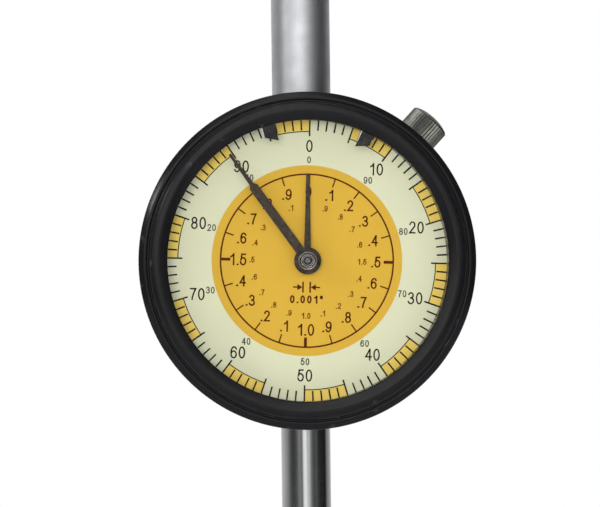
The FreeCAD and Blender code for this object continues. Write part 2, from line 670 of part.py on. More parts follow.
def tube_cap():
    """Slotted plug that closes the upper tube and carries the return spring."""
    cap = turned_upright([
        (0, CAP_UNDERSIDE), (TUBE_BORE, CAP_UNDERSIDE), (TUBE_BORE, TUBE_TOP), (TUBE_RADIUS, TUBE_TOP),
        (TUBE_RADIUS, TUBE_TOP + CAP_THICK - CAP_CHAMFER), (TUBE_RADIUS - CAP_CHAMFER, TUBE_TOP + CAP_THICK),
        (0, TUBE_TOP + CAP_THICK)])
    slot = Part.makeBox(2 * (TUBE_RADIUS + OVERCUT), CAP_SLOT_WIDTH, CAP_SLOT_DEPTH,
                        Vector(-TUBE_RADIUS - OVERCUT, -CAP_SLOT_WIDTH / 2, TUBE_TOP + CAP_THICK - CAP_SLOT_DEPTH))
    return cap.cut(slot)


# ---- Spindle group ----------------------------------------------------------------------------
def rack_cutter():
    """Everything that the rack's cutter takes off the spindle's left side."""
    pitch_z = FIRST_PLACE[1]
    low_tooth = -math.ceil((TRAVEL + RACK_OVERRUN) / RACK_PITCH)
    high_tooth = math.ceil(RACK_OVERRUN / RACK_PITCH)
    slope = math.tan(math.radians(PRESSURE_ANGLE))
    addendum = ADDENDUM * RACK_MODULE
    dedendum = DEDENDUM * RACK_MODULE
    half_pitch_line = RACK_PITCH * TOOTH_SHARE / 2
    half_tip = half_pitch_line - addendum * slope
    half_root = half_pitch_line + dedendum * slope
    root_x = RACK_LINE_X + dedendum
    far_x = -SPINDLE_RADIUS - OVERCUT
    points = [(far_x, pitch_z + low_tooth * RACK_PITCH)]
    for index in range(low_tooth, high_tooth):
        middle = pitch_z + (index + 0.5) * RACK_PITCH
        points += [(root_x, middle - half_root), (RACK_TIP_X, middle - half_tip),
                   (RACK_TIP_X, middle + half_tip), (root_x, middle + half_root)]
    points.append((far_x, pitch_z + high_tooth * RACK_PITCH))
    points[1] = (root_x, pitch_z + low_tooth * RACK_PITCH)
    points.insert(2, (root_x, pitch_z + (low_tooth + 0.5) * RACK_PITCH - half_root))
    points.insert(-1, (root_x, pitch_z + high_tooth * RACK_PITCH))
    return slab(points, -SPINDLE_RADIUS - OVERCUT, SPINDLE_RADIUS + OVERCUT)


def spindle():
    """Round spindle with its rack, the rod that guides the return spring, and a socket for the point."""
    rod_top = SPINDLE_TOP + SPRING_ROD_LENGTH
    socket_top = SPINDLE_BOTTOM + POINT_SHANK_LENGTH
    body = turned_upright([
        (POINT_SHANK_RADIUS, SPINDLE_BOTTOM), (SPINDLE_RADIUS, SPINDLE_BOTTOM),
        (SPINDLE_RADIUS, SPINDLE_TOP), (SPRING_ROD_RADIUS, SPINDLE_TOP), (SPRING_ROD_RADIUS, rod_top),
        (0, rod_top), (0, socket_top), (POINT_SHANK_RADIUS, socket_top)])
    pin_hole = Part.makeCylinder(GUIDE_PIN_RADIUS, SPINDLE_RADIUS + OVERCUT, Vector(0, 0, GUIDE_PIN_Z), Y_AXIS)
    return body.cut(rack_cutter()).cut(pin_hole)


def contact_point():
    """Screwed-in tapered point that holds the ball."""
    tip = SPINDLE_BOTTOM - POINT_LENGTH
    ball_z = tip + BALL_RADIUS
    neck_z = ball_z + math.sqrt(BALL_RADIUS ** 2 - POINT_NECK_RADIUS ** 2)
    grip_z = SPINDLE_BOTTOM - POINT_LENGTH * 0.4
    body = turned_upright([
        (0, ball_z), (POINT_NECK_RADIUS, ball_z), (POINT_NECK_RADIUS, neck_z), (SPINDLE_RADIUS, grip_z),
        (SPINDLE_RADIUS, SPINDLE_BOTTOM), (POINT_SHANK_RADIUS, SPINDLE_BOTTOM),
        (POINT_SHANK_RADIUS, SPINDLE_BOTTOM + POINT_SHANK_LENGTH),
        (0, SPINDLE_BOTTOM + POINT_SHANK_LENGTH)])
    return body.cut(contact_ball())


def contact_ball():
    """Hard ball that touches the work."""
    return Part.makeSphere(BALL_RADIUS, Vector(0, 0, SPINDLE_BOTTOM - POINT_LENGTH + BALL_RADIUS))


def guide_pin():
    """Pin in the spindle that runs in the guide rail and stops it turning."""
    return Part.makeCylinder(GUIDE_PIN_RADIUS, GUIDE_PIN_END, Vector(0, 0, GUIDE_PIN_Z), Y_AXIS)


def spring_seat():
    """Collar on the spindle's top that the return spring presses on."""
    return tube(SPRING_SEAT_RADIUS, SPRING_ROD_RADIUS, SPINDLE_TOP, SPRING_SEAT_TOP)


def return_spring():
    """Open-coiled spring between the collar and the cap, with the spindle fully out."""
    height = CAP_UNDERSIDE - SPRING_SEAT_TOP - SPRING_WIRE
    path = Part.makeHelix(height / SPRING_COILS, height, SPRING_RADIUS)
    half = SPRING_WIRE / 2
    corners = [Vector(SPRING_RADIUS + dx, 0, dz)
               for dx, dz in ((-half, -half), (half, -half), (half, half), (-half, half))]
    wire = Part.makePolygon(corners + corners[:1])
    spring = Part.Wire(path.Edges).makePipeShell([wire], True, True)
    spring.translate(Vector(0, 0, SPRING_SEAT_TOP + half))
    return spring


# ---- Guide and movement -----------------------------------------------------------------------
def guide_rail():
    """Channel behind the spindle with a foot at each end."""
    span = math.sqrt(CASE_INNER ** 2 - RAIL_HALF_WIDTH ** 2) - RUN_GAP
    channel = brick(-RAIL_HALF_WIDTH, RAIL_HALF_WIDTH, RAIL_FRONT, RAIL_BACK, -span, span)
    floor_front = RAIL_BACK - RAIL_FLOOR
    feet = []
    for z in (-RAIL_BOSS_Z, RAIL_BOSS_Z):
        feet.append(brick(-RAIL_FOOT_HALF_WIDTH, RAIL_FOOT_HALF_WIDTH, floor_front, RAIL_BACK,
                          z - RAIL_FOOT_HALF_HEIGHT, z + RAIL_FOOT_HALF_HEIGHT))
    rail = fused(channel, *feet)
    slot_half = GUIDE_PIN_RADIUS + RUN_GAP
    rail = rail.cut(brick(-slot_half, slot_half, RAIL_FRONT, floor_front, -span - OVERCUT, span + OVERCUT))
    return rail.cut([small_screw_hole(place, RAIL_BACK) for place in rail_boss_places()])


def guide_rail_screws():
    """Four screws through the rail's feet."""
    return group([small_screw(place, RAIL_BACK) for place in rail_boss_places()])


def movement_plate():
    """Round plate with three ears, between the wheels and the spindle."""
    plate = disc(PLATE_RADIUS, PLATE_FRONT, PLATE_BACK)
    ears = [disc(PLATE_EAR_RADIUS, PLATE_FRONT, PLATE_BACK, place) for place in pillar_places()]
    plate = fused(plate, *ears)
    removed = [disc(SMALL_SCREW_RADIUS, PLATE_FRONT, PLATE_BACK, place) for place in pillar_places()]
    removed += [disc(SMALL_SCREW_RADIUS, PLATE_FRONT, PLATE_BACK, place) for place in bridge_post_places()]
    removed.append(disc(HUB_RADIUS + SLIDE_GAP, PLATE_FRONT, PLATE_BACK, FIRST_PLACE))
    for place in (CENTRE_PLACE, TAKEUP_PLACE):
        removed.append(disc(JEWEL_RADIUS, PLATE_FRONT, PLATE_FRONT + JEWEL_THICK, place))
    return plate.cut(removed)


def movement_pillars():
    """Pillars between the case floor and the movement plate."""
    pillars = []
    for place in pillar_places():
        pillars.append(ring(PILLAR_RADIUS, SMALL_SCREW_RADIUS, FLOOR_BACK, PLATE_FRONT, place))
    return group(pillars)


def movement_screws():
    """Long screws through the plate and pillars into the case floor."""
    length = PLATE_BACK - FLOOR_FRONT
    return group([small_screw(place, PLATE_BACK, length) for place in pillar_places()])


def bridge_posts():
    """Posts that hold the rear bridge off the movement plate."""
    posts = []
    for place in bridge_post_places():
        posts.append(ring(POST_RADIUS, SMALL_SCREW_RADIUS, PLATE_BACK, BRIDGE_FRONT, place))
    return group(posts)


def rear_bridge():
    """Bridge over the rack pinion, with the first arbor's rear bearing in its nose."""
    places = bridge_post_places() + [FIRST_PLACE]
    bridge = hull_plate(places, (BRIDGE_FOOT_RADIUS, BRIDGE_FOOT_RADIUS, BRIDGE_END_RADIUS),
                        BRIDGE_FRONT, BRIDGE_BACK)
    removed = [disc(SMALL_SCREW_RADIUS, BRIDGE_FRONT, BRIDGE_BACK, place) for place in bridge_post_places()]
    removed.append(disc(JEWEL_RADIUS, BRIDGE_FRONT, BRIDGE_FRONT + JEWEL_THICK, FIRST_PLACE))
    return bridge.cut(removed)


def rear_bridge_screws():
    """Long screws through the bridge and posts into the movement plate."""
    length = BRIDGE_BACK - PLATE_FRONT
    return group([small_screw(place, BRIDGE_BACK, length) for place in bridge_post_places()])


def jewel(place, front):
    """Bearing jewel with a blind-side pivot hole."""
    return ring(JEWEL_RADIUS, PIVOT_RADIUS + RUN_GAP, front, front + JEWEL_THICK, place)


def jewel_bearings():
    """The five jewels of the three arbors; the centre arbor's front bearing is its pipe."""
    front_seat = FLOOR_BACK - JEWEL_THICK
    return group([jewel(FIRST_PLACE, front_seat), jewel(TAKEUP_PLACE, front_seat),
                  jewel(CENTRE_PLACE, PLATE_FRONT), jewel(TAKEUP_PLACE, PLATE_FRONT),
                  jewel(FIRST_PLACE, BRIDGE_FRONT)])


def arbor(place, radius, front, back):
    """Steel arbor with a pivot at each end, its shoulders at front and back."""
    front += SLIDE_GAP
    back -= SLIDE_GAP
    return turned([(0, front - PIVOT_LENGTH), (PIVOT_RADIUS, front - PIVOT_LENGTH), (PIVOT_RADIUS, front),
                   (radius, front), (radius, back), (PIVOT_RADIUS, back),
                   (PIVOT_RADIUS, back + PIVOT_LENGTH), (0, back + PIVOT_LENGTH)], place)


def rack_pinion_arbor():
    """First arbor, with the leaves that the rack drives."""
    shaft = arbor(FIRST_PLACE, ARBOR_RADIUS, FLOOR_BACK, BRIDGE_FRONT)
    leaves = gear(FIRST_PLACE, RACK_MODULE, RACK_LEAVES, RACK_PINION_PHASE,
                  -RACK_PINION_HALF, RACK_PINION_HALF)
    return fused(shaft, leaves)


def big_wheel(place, phase, bore):
    """Brass wheel with round windows."""
    wheel = gear(place, WHEEL_MODULE, WHEEL_TEETH, phase, WHEEL_FRONT, WHEEL_BACK)
    return wheel.cut(wheel_outline_holes(place) + [disc(bore, WHEEL_FRONT, WHEEL_BACK, place)])


def transmission_wheel():
    """Wheel on the first arbor that drives the centre pinion."""
    return big_wheel(FIRST_PLACE, FIRST_PHASE, ARBOR_RADIUS)


def transmission_hub():
    """Collet that holds the transmission wheel on its arbor."""
    return ring(HUB_RADIUS, ARBOR_RADIUS, WHEEL_BACK, WHEEL_BACK + HUB_THICK, FIRST_PLACE)


def count_drive_pinion():
    """Pinion on the first arbor that drives the counting wheel."""
    pinion = gear(FIRST_PLACE, RACK_MODULE, COUNT_LEAVES, FIRST_PHASE,
                  COUNT_FRONT - COUNT_PINION_EXTRA, COUNT_BACK + COUNT_PINION_EXTRA)
    return pinion.cut(disc(ARBOR_RADIUS, COUNT_FRONT - OVERCUT, COUNT_BACK + OVERCUT, FIRST_PLACE))


def centre_arbor():
    """Centre arbor with its pinion; it carries the long hand in front of the crystal side."""
    back = PLATE_FRONT - SLIDE_GAP
    front = BOSS_FRONT + BOSS_RECESS_DEPTH
    shaft = turned([(0, front), (CENTRE_ARBOR_RADIUS, front), (CENTRE_ARBOR_RADIUS, back),
                    (PIVOT_RADIUS, back), (PIVOT_RADIUS, back + PIVOT_LENGTH), (0, back + PIVOT_LENGTH)])
    leaves = gear(CENTRE_PLACE, WHEEL_MODULE, CENTRE_LEAVES, CENTRE_PHASE,
                  WHEEL_FRONT - PINION_MARGIN, WHEEL_BACK + PINION_MARGIN)
    return fused(shaft, leaves)


def count_wheel():
    """Wheel that turns once over the whole scale."""
    wheel = gear(CENTRE_PLACE, RACK_MODULE, COUNT_TEETH, COUNT_PHASE, COUNT_FRONT, COUNT_BACK)
    return wheel.cut(disc(PIPE_RADIUS, COUNT_FRONT, COUNT_BACK))


def count_pipe():
    """Pipe round the centre arbor that carries the counting wheel and hand."""
    return ring(PIPE_RADIUS, PIPE_BORE, COUNT_HAND_FRONT, COUNT_BACK)


def centre_bearing():
    """Flanged bush in the case floor for the pipe."""
    front = FLOOR_FRONT - BEARING_FLANGE_THICK
    return turned([(BEARING_BORE, front), (BEARING_FLANGE_RADIUS, front),
                   (BEARING_FLANGE_RADIUS, FLOOR_FRONT), (BEARING_RADIUS, FLOOR_FRONT),
                   (BEARING_RADIUS, FLOOR_BACK), (BEARING_BORE, FLOOR_BACK)])


def takeup_arbor():
    """Arbor of the wheel that keeps the train free of play."""
    return arbor(TAKEUP_PLACE, ARBOR_RADIUS, FLOOR_BACK, PLATE_FRONT)


def takeup_wheel():
    """Wheel that the hairspring presses against the centre pinion."""
    return big_wheel(TAKEUP_PLACE, TAKEUP_PHASE, ARBOR_RADIUS)


def hairspring_collet():
    """Collet on the take-up arbor inside the hairspring."""
    return ring(HAIRSPRING_COLLET_RADIUS, ARBOR_RADIUS, HAIRSPRING_FRONT,
                HAIRSPRING_FRONT + HAIRSPRING_HEIGHT, TAKEUP_PLACE)


def spiral_radius(turns):
    """Radius of the middle of the hairspring's band after some turns."""
    return HAIRSPRING_START + HAIRSPRING_PITCH * turns


def stud_place():
    """Centre of the post that holds the hairspring's outer end."""
    radius = spiral_radius(HAIRSPRING_TURNS) + HAIRSPRING_BAND / 2 + STUD_RADIUS
    x, z = clock(radius, TAKEUP_ANGLE)
    return TAKEUP_PLACE[0] + x, TAKEUP_PLACE[1] + z


def hairspring():
    """Flat spiral band from the collet to the stud."""
    steps = 16
    count = round(HAIRSPRING_TURNS * steps)
    sides = ([], [])
    for index in range(count + 1):
        turns = index / steps
        degrees = TAKEUP_ANGLE + 360.0 * (turns - HAIRSPRING_TURNS)
        for side, offset in zip(sides, (-HAIRSPRING_BAND / 2, HAIRSPRING_BAND / 2)):
            x, z = clock(spiral_radius(turns) + offset, degrees)
            side.append((TAKEUP_PLACE[0] + x, TAKEUP_PLACE[1] + z))
    return slab(sides[0] + sides[1][::-1], HAIRSPRING_FRONT, HAIRSPRING_FRONT + HAIRSPRING_HEIGHT)


def hairspring_stud():
    """Post in the case floor for the hairspring's outer end."""
    return disc(STUD_RADIUS, FLOOR_BACK - JEWEL_THICK, HAIRSPRING_FRONT + HAIRSPRING_HEIGHT, stud_place())


# ---- Hands ------------------------------------------------------------------------------------
def blade(outline, degrees, front, back):
    """Flat hand drawn pointing up, turned to its clock angle; outline is (half width, radius)."""
    points = [(-half, radius) for half, radius in outline]
    points += [(half, radius) for half, radius in reversed(outline)]
    hand = slab(points, front, back)
    hand.rotate(dial_point(0, 0, 0), Y_AXIS, degrees)
    return hand


def count_hand():
    """Short hand on the pipe, with a raised hub."""
    arm = blade([(COUNT_HAND_ROOT / 2, 0), (COUNT_HAND_TIP / 2, COUNT_HAND_LENGTH)], COUNT_HAND_ANGLE,
                COUNT_HAND_FRONT, COUNT_HAND_FRONT + COUNT_HAND_THICK)
    hub = disc(COUNT_HUB_RADIUS, COUNT_HAND_FRONT, COUNT_HAND_BACK)
    return fused(arm, hub).cut(disc(PIPE_RADIUS, COUNT_HAND_FRONT - OVERCUT, COUNT_HAND_BACK + OVERCUT))


def long_hand():
    """Long hand: a broad blade that steps down to a needle."""
    arm = blade([(LONG_HAND_WIDTH / 2, 0), (LONG_HAND_WIDTH / 2, LONG_HAND_BROAD),
                 (LONG_NEEDLE_ROOT / 2, LONG_HAND_BROAD + LONG_HAND_WIDTH / 3),
                 (LONG_NEEDLE_TIP / 2, LONG_HAND_LENGTH)], LONG_HAND_ANGLE, LONG_HAND_FRONT, LONG_HAND_BACK)
    hub = disc(LONG_HUB_RADIUS, LONG_HAND_FRONT, LONG_HAND_BACK)
    return fused(arm, hub).cut(disc(CENTRE_ARBOR_RADIUS, LONG_HAND_FRONT - OVERCUT, LONG_HAND_BACK + OVERCUT))


def long_hand_boss():
    """Bright boss that grips the centre arbor, with a dished front."""
    return turned([(CENTRE_ARBOR_RADIUS, LONG_HAND_FRONT), (BOSS_RADIUS, LONG_HAND_FRONT),
                   (BOSS_RADIUS, BOSS_FRONT + BOSS_RECESS_DEPTH / 2),
                   (BOSS_RADIUS - BOSS_RECESS_DEPTH / 2, BOSS_FRONT),
                   (BOSS_RECESS_RADIUS, BOSS_FRONT), (BOSS_RECESS_RADIUS, BOSS_FRONT + BOSS_RECESS_DEPTH),
                   (CENTRE_ARBOR_RADIUS, BOSS_FRONT + BOSS_RECESS_DEPTH)])


# ---- Bezel and dial ---------------------------------------------------------------------------
def knurled_ring(root, tip, inner, flutes, front, back):
    """Ring with straight V knurls, as a ring of sharp ridges."""
    points = []
    for index in range(flutes):
        step = 360.0 / flutes
        points.append(clock(root, step * index))
        points.append(clock(tip, step * (index + 0.5)))
    return slab(points, front, back).cut(disc(inner, front, back))


def bezel():
    """Rounded ring, groove and knurled flange in front of a plain skirt."""
    profile = [
        (BEZEL_OPENING, LIP_FRONT), (CREST_RADIUS, CREST_FRONT), (RING_OUTER, GROOVE_FLOOR - RING_FOOT_RISE),
        (GROOVE_RADIUS, GROOVE_FLOOR), (FLANGE_ROOT, FLANGE_FRONT), (KNURL_ROOT - FLANGE_CHAMFER, FLANGE_FRONT),
        (KNURL_ROOT, FLANGE_FRONT + FLANGE_CHAMFER), (KNURL_ROOT, FLANGE_BACK - FLANGE_CHAMFER),
        (KNURL_ROOT - FLANGE_CHAMFER, FLANGE_BACK), (SKIRT_RADIUS, FLANGE_BACK), (SKIRT_RADIUS, BEZEL_BACK),
        (SKIRT_BORE, BEZEL_BACK), (SKIRT_BORE, RETAINER_BACK), (DIAL_SEAT, RETAINER_BACK),
        (DIAL_SEAT, DIAL_FRONT), (GLASS_SEAT, DIAL_FRONT), (GLASS_SEAT, CRYSTAL_FRONT),
        (BEZEL_OPENING, CRYSTAL_FRONT), (BEZEL_OPENING, MARKER_BACK + SLIDE_GAP / 2),
        (MARKER_GROOVE_RADIUS, MARKER_BACK + SLIDE_GAP / 2), (MARKER_GROOVE_RADIUS, MARKER_FRONT - SLIDE_GAP / 2),
        (BEZEL_OPENING, MARKER_FRONT - SLIDE_GAP / 2)]
    rise = (CREST_RADIUS + BEZEL_OPENING) / 2
    fall = (CREST_RADIUS + RING_OUTER) / 2
    arcs = {0: (rise, CREST_FRONT + CREST_RISE_DROP),
            1: (fall + CREST_FALL_SHIFT, CREST_FRONT + CREST_FALL_DROP)}
    body = turned(profile, CENTRE_PLACE, arcs)
    knurls = knurled_ring(KNURL_ROOT, BEZEL_RADIUS, KNURL_ROOT - OVERCUT, KNURLS,
                          FLANGE_FRONT + FLANGE_CHAMFER, FLANGE_BACK - FLANGE_CHAMFER)
    groove = ring(SNAP_OUTER, CASE_RADIUS, SNAP_FRONT, SNAP_FRONT + SNAP_THICK)
    return body.cut(groove).fuse(knurls)


def crystal():
    """Flat window."""
    return disc(CRYSTAL_RADIUS, CRYSTAL_FRONT, CRYSTAL_BACK)


def crystal_spacer():
    """Ring that holds the crystal off the dial."""
    return ring(CRYSTAL_RADIUS, SPACER_INNER, CRYSTAL_BACK, DIAL_FRONT)


def dial_plate():
    """Dial with a hole for the hand pipe."""
    return ring(DIAL_RADIUS, DIAL_HOLE, DIAL_FRONT, DIAL_BACK)


def dial_retainer():
    """Ring that presses the dial into the bezel."""
    return ring(DIAL_RADIUS, SPACER_INNER, DIAL_BACK, RETAINER_BACK)


def bezel_snap_ring():
    """Open spring ring that keeps the bezel on the case."""
    whole = ring(SNAP_OUTER, SNAP_INNER, SNAP_FRONT, SNAP_FRONT + SNAP_THICK)
    far = 2 * SNAP_OUTER
    opening = slab([CENTRE_PLACE, clock(far, 180 - SNAP_GAP_ANGLE / 2), clock(far, 180 + SNAP_GAP_ANGLE / 2)],
                   SNAP_FRONT, SNAP_FRONT + SNAP_THICK)
    return whole.cut(opening)


def limit_marker(degrees):
    """Pointer over the crystal with a foot in the bezel's groove; its tip leans to the other marker."""
    foot = sector(MARKER_FOOT_RADIUS, BEZEL_OPENING - MARKER_FOOT_DEPTH, MARKER_FRONT, MARKER_BACK, 0,
                  MARKER_FOOT_HALF_ANGLE)
    tip_side = 1 if degrees < 0 else -1
    half = MARKER_WIDTH / 2 * tip_side
    tab = slab([(half, BEZEL_OPENING), (half, MARKER_TIP), (-half, MARKER_TIP + MARKER_SLANT),
                (-half, BEZEL_OPENING)], MARKER_FRONT, MARKER_BACK)
    marker = fused(foot, tab)
    marker.rotate(dial_point(0, 0, 0), Y_AXIS, degrees)
    return marker


# ---- Bezel clamp ------------------------------------------------------------------------------
def clamp_strip():
    """Stepped strip on the case whose lip presses on the bezel's skirt; drawn released."""
    rear = sector(CLAMP_REAR_OUTER, CLAMP_REAR_INNER, CLAMP_LIP_BACK - CLAMP_STRIP_THICK, CLAMP_STRIP_BACK,
                  CLAMP_ANGLE, CLAMP_HALF_ANGLE)
    lip = sector(CLAMP_LIP_OUTER, CLAMP_LIP_INNER, CLAMP_LIP_FRONT, CLAMP_LIP_BACK, CLAMP_ANGLE,
                 CLAMP_HALF_ANGLE)
    step = sector(CLAMP_LIP_OUTER, CLAMP_REAR_INNER, CLAMP_LIP_BACK - CLAMP_STRIP_THICK, CLAMP_LIP_BACK,
                  CLAMP_ANGLE, CLAMP_HALF_ANGLE)
    strip = fused(rear, lip, step)
    spot_face = clamp_cylinder(KNOB_NECK_RADIUS + RUN_GAP, CLAMP_REAR_OUTER - 2 * RUN_GAP, KNOB_START + OVERCUT)
    hole = clamp_cylinder(CLAMP_SCREW_RADIUS + RUN_GAP, CASE_INNER, KNOB_START)
    return strip.cut([spot_face, hole])


def clamp_knob():
    """Knurled thumb screw of the bezel clamp, with a domed end."""
    end = KNOB_START + KNOB_LENGTH
    profile = [(0, CASE_RADIUS - CLAMP_SCREW_BITE), (CLAMP_SCREW_RADIUS, CASE_RADIUS - CLAMP_SCREW_BITE),
               (CLAMP_SCREW_RADIUS, CLAMP_REAR_OUTER - RUN_GAP), (KNOB_NECK_RADIUS, CLAMP_REAR_OUTER - RUN_GAP),
               (KNOB_NECK_RADIUS, KNOB_START), (KNOB_RADIUS - KNOB_CHAMFER, KNOB_START),
               (KNOB_RADIUS - KNOB_FLUTE_DEPTH, KNOB_START + KNOB_CHAMFER),
               (KNOB_RADIUS - KNOB_FLUTE_DEPTH, end - KNOB_DOME_LENGTH),
               (KNOB_RADIUS - KNOB_DOME_SHOULDER, end - KNOB_DOME_STEP), (KNOB_RADIUS - KNOB_DOME_FLAT, end),
               (0, end)]
    body = revolved(profile, clamp_axis(0), clamp_direction(), Y_AXIS)
    flutes = knurled_ring(KNOB_RADIUS - KNOB_FLUTE_DEPTH, KNOB_RADIUS, KNOB_NECK_RADIUS, KNOB_FLUTES,
                          0, KNOB_LENGTH - KNOB_CHAMFER - KNOB_DOME_LENGTH)
    flutes.translate(-dial_point(0, 0, 0))
    flutes.Placement = FreeCAD.Placement(clamp_axis(KNOB_START + KNOB_CHAMFER),
                                         FreeCAD.Rotation(Y_AXIS, clamp_direction())) * flutes.Placement
    return body.fuse(flutes)


# ---- Nodes ------------------------------------------------------------------------------------
PIECES = {
    "case_body": case_body, "back_gasket": back_gasket, "back_cover": back_cover,
    "back_cover_screws": back_cover_screws, "stem": stem, "stem_bush": stem_bush,
    "upper_tube": upper_tube, "upper_bush": upper_bush, "tube_cap": tube_cap,
    "spindle": spindle, "contact_point": contact_point, "contact_ball": contact_ball,
    "guide_pin": guide_pin, "spring_seat": spring_seat, "return_spring": return_spring,
    "guide_rail": guide_rail, "guide_rail_screws": guide_rail_screws,
    "movement_plate": movement_plate, "movement_pillars": movement_pillars,
    "movement_screws": movement_screws, "bridge_posts": bridge_posts, "rear_bridge": rear_bridge,
    "rear_bridge_screws": rear_bridge_screws, "jewel_bearings": jewel_bearings,
    "rack_pinion_arbor": rack_pinion_arbor, "transmission_wheel": transmission_wheel,
    "transmission_hub": transmission_hub, "count_drive_pinion": count_drive_pinion,
    "centre_arbor": centre_arbor, "centre_bearing": centre_bearing,
    "count_wheel": count_wheel, "count_pipe": count_pipe, "count_hand": count_hand,
    "takeup_arbor": takeup_arbor, "takeup_wheel": takeup_wheel,
    "hairspring_collet": hairspring_collet, "hairspring": hairspring,
    "hairspring_stud": hairspring_stud, "long_hand": long_hand, "long_hand_boss": long_hand_boss,
    "bezel": bezel, "crystal": crystal, "crystal_spacer": crystal_spacer, "dial_plate": dial_plate,
    "dial_retainer": dial_retainer, "bezel_snap_ring": bezel_snap_ring,
    "clamp_strip": clamp_strip, "clamp_knob": clamp_knob,
}


def main():
    """Write one STEP file per node."""
    os.makedirs("parts", exist_ok=True)
    for name, degrees in MARKER_ANGLES.items():
        PIECES[name] = lambda degrees=degrees: limit_marker(degrees)
    for name, make in PIECES.items():
        shape = make()
        shape.exportStep("parts/" + name + ".step")
        print(name, len(shape.Solids), "solids", round(shape.Volume, 3), "mm3",
              "ok" if shape.isValid() else "NOT VALID")


main()
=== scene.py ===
"""Long-travel dial indicator: the looks of the part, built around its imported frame."""

import json
import math

import bmesh
import bpy
from bpy.props import FloatProperty, FloatVectorProperty, IntProperty, PointerProperty
from bpy.types import Operator, Panel, PropertyGroup
from mathutils import Matrix, Vector


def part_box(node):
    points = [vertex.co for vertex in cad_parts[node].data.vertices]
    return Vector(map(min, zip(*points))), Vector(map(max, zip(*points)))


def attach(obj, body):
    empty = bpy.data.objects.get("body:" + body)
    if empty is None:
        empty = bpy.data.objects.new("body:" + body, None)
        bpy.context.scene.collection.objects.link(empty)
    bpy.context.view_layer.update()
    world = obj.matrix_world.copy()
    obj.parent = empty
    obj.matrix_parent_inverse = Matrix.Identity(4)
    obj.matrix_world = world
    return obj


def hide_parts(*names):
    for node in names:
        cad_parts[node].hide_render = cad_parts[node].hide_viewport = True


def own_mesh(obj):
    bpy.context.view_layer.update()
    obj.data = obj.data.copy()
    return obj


bl_info = {
    "name": "Long-travel dial indicator",
    "version": (1, 0, 0),
    "blender": (4, 5, 0),
    "location": "3D View > Sidebar > Indicator",
    "description": "Builds a long-travel dial indicator around its packed frame",
    "category": "Add Mesh",
}

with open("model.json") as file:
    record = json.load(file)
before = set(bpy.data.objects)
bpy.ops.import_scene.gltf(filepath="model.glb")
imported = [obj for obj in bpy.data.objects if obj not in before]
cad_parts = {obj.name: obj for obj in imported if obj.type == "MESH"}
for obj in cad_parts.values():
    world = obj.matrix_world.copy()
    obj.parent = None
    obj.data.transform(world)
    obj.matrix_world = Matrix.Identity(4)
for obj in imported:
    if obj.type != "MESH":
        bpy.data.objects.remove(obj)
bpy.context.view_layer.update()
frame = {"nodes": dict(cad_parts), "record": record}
MM = 0.001
BEHAVIOUR = frame["record"]["behaviour"]
BODY_OF = {node: body for body, nodes in BEHAVIOUR["bodies"].items() for node in nodes}
SLOT_OF = {part["node"]: part["material_slot"] for part in frame["record"]["subparts"]}


# ---- Places read from the frame, in millimetres ----
def corners(node):
    """Lowest and highest corner of a node, in millimetres."""
    low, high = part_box(node)
    return low / MM, high / MM


def half_width(node):
    low, high = corners(node)
    return (high.x - low.x) / 2


def front(node):
    return corners(node)[0].y


def back(node):
    return corners(node)[1].y


DIAL_Z = sum(corner.z for corner in corners("crystal")) / 2
BEZEL_R = half_width("bezel")
BEZEL_FRONT, BEZEL_BACK = front("bezel"), back("bezel")
GLASS_R, GLASS_FRONT, GLASS_BACK = half_width("crystal"), front("crystal"), back("crystal")
DIAL_R, DIAL_FRONT, DIAL_BACK = half_width("dial_plate"), front("dial_plate"), back("dial_plate")
CASE_R, CASE_BACK = half_width("case_body"), back("case_body")
CASE_END = (corners("case_body")[1].z - corners("case_body")[0].z) / 2
COVER_THICK, BUSH_WALL, BEZEL_WIDTH = 2.0, 1.02, 5.45
COVER_BACK = back("back_gasket") + COVER_THICK
STEM_R = half_width("stem")
TUBE_R = half_width("upper_tube")
SPINDLE_R = half_width("stem_bush") - BUSH_WALL
OPENING = BEZEL_R - BEZEL_WIDTH
STEM_LOW = corners("stem")[0].z
TUBE_TOP = corners("upper_tube")[1].z
CAP_TOP = corners("tube_cap")[1].z


# ---- Sizes and colours a user would change ----
def paint(red, green, blue):
    """Linear colour of a paint swatch given as three whole numbers up to 255."""
    def linear(value):
        share = value / 255
        return share / 12.92 if share <= 0.04045 else ((share + 0.055) / 1.055) ** 2.4
    return linear(red), linear(green), linear(blue)


def swatch(name, description, colour):
    return FloatVectorProperty(name=name, description=description, subtype="COLOR", size=3,
                               min=0.0, max=1.0, default=colour)


def length(name, description, value):
    return FloatProperty(name=name, description=description, default=value * MM, min=0.0,
                         subtype="DISTANCE", unit="LENGTH", precision=5)


class IndicatorSizes(PropertyGroup):
    knurls: IntProperty(name="Knurls", description="Ridges round the bezel's flange", default=225, min=24)
    knob_flutes: IntProperty(name="Knob flutes", description="Ridges round the clamp knob", default=40, min=12)
    tick: length("Tick", "Width of the dial's graduation lines", 0.29)
    ink: length("Ink", "Thickness of each printed layer on the dial", 0.02)
    dial_turn: FloatProperty(name="Dial turn", description="How far the bezel and dial are turned from zero",
                             default=math.radians(1.9), subtype="ANGLE", unit="ROTATION")


class IndicatorColours(PropertyGroup):
    dial: swatch("Dial", "Ground colour of the dial", paint(226, 227, 192))
    centre: swatch("Dial centre", "Inner disc of the dial", paint(222, 178, 64))
    bands: swatch("Dial bands", "Blocks between the graduations", paint(246, 214, 108))
    ink: swatch("Ink", "Graduations and outer numbers", paint(26, 26, 22))
    brown_ink: swatch("Brown ink", "Inner scale and numbers", paint(84, 36, 8))
    enamel: swatch("Enamel", "Bezel and case", paint(24, 24, 26))
    hands: swatch("Hands", "Both hands", paint(46, 35, 25))


def sizes():
    return bpy.context.scene.indicator_sizes


def colours():
    return bpy.context.scene.indicator_colours


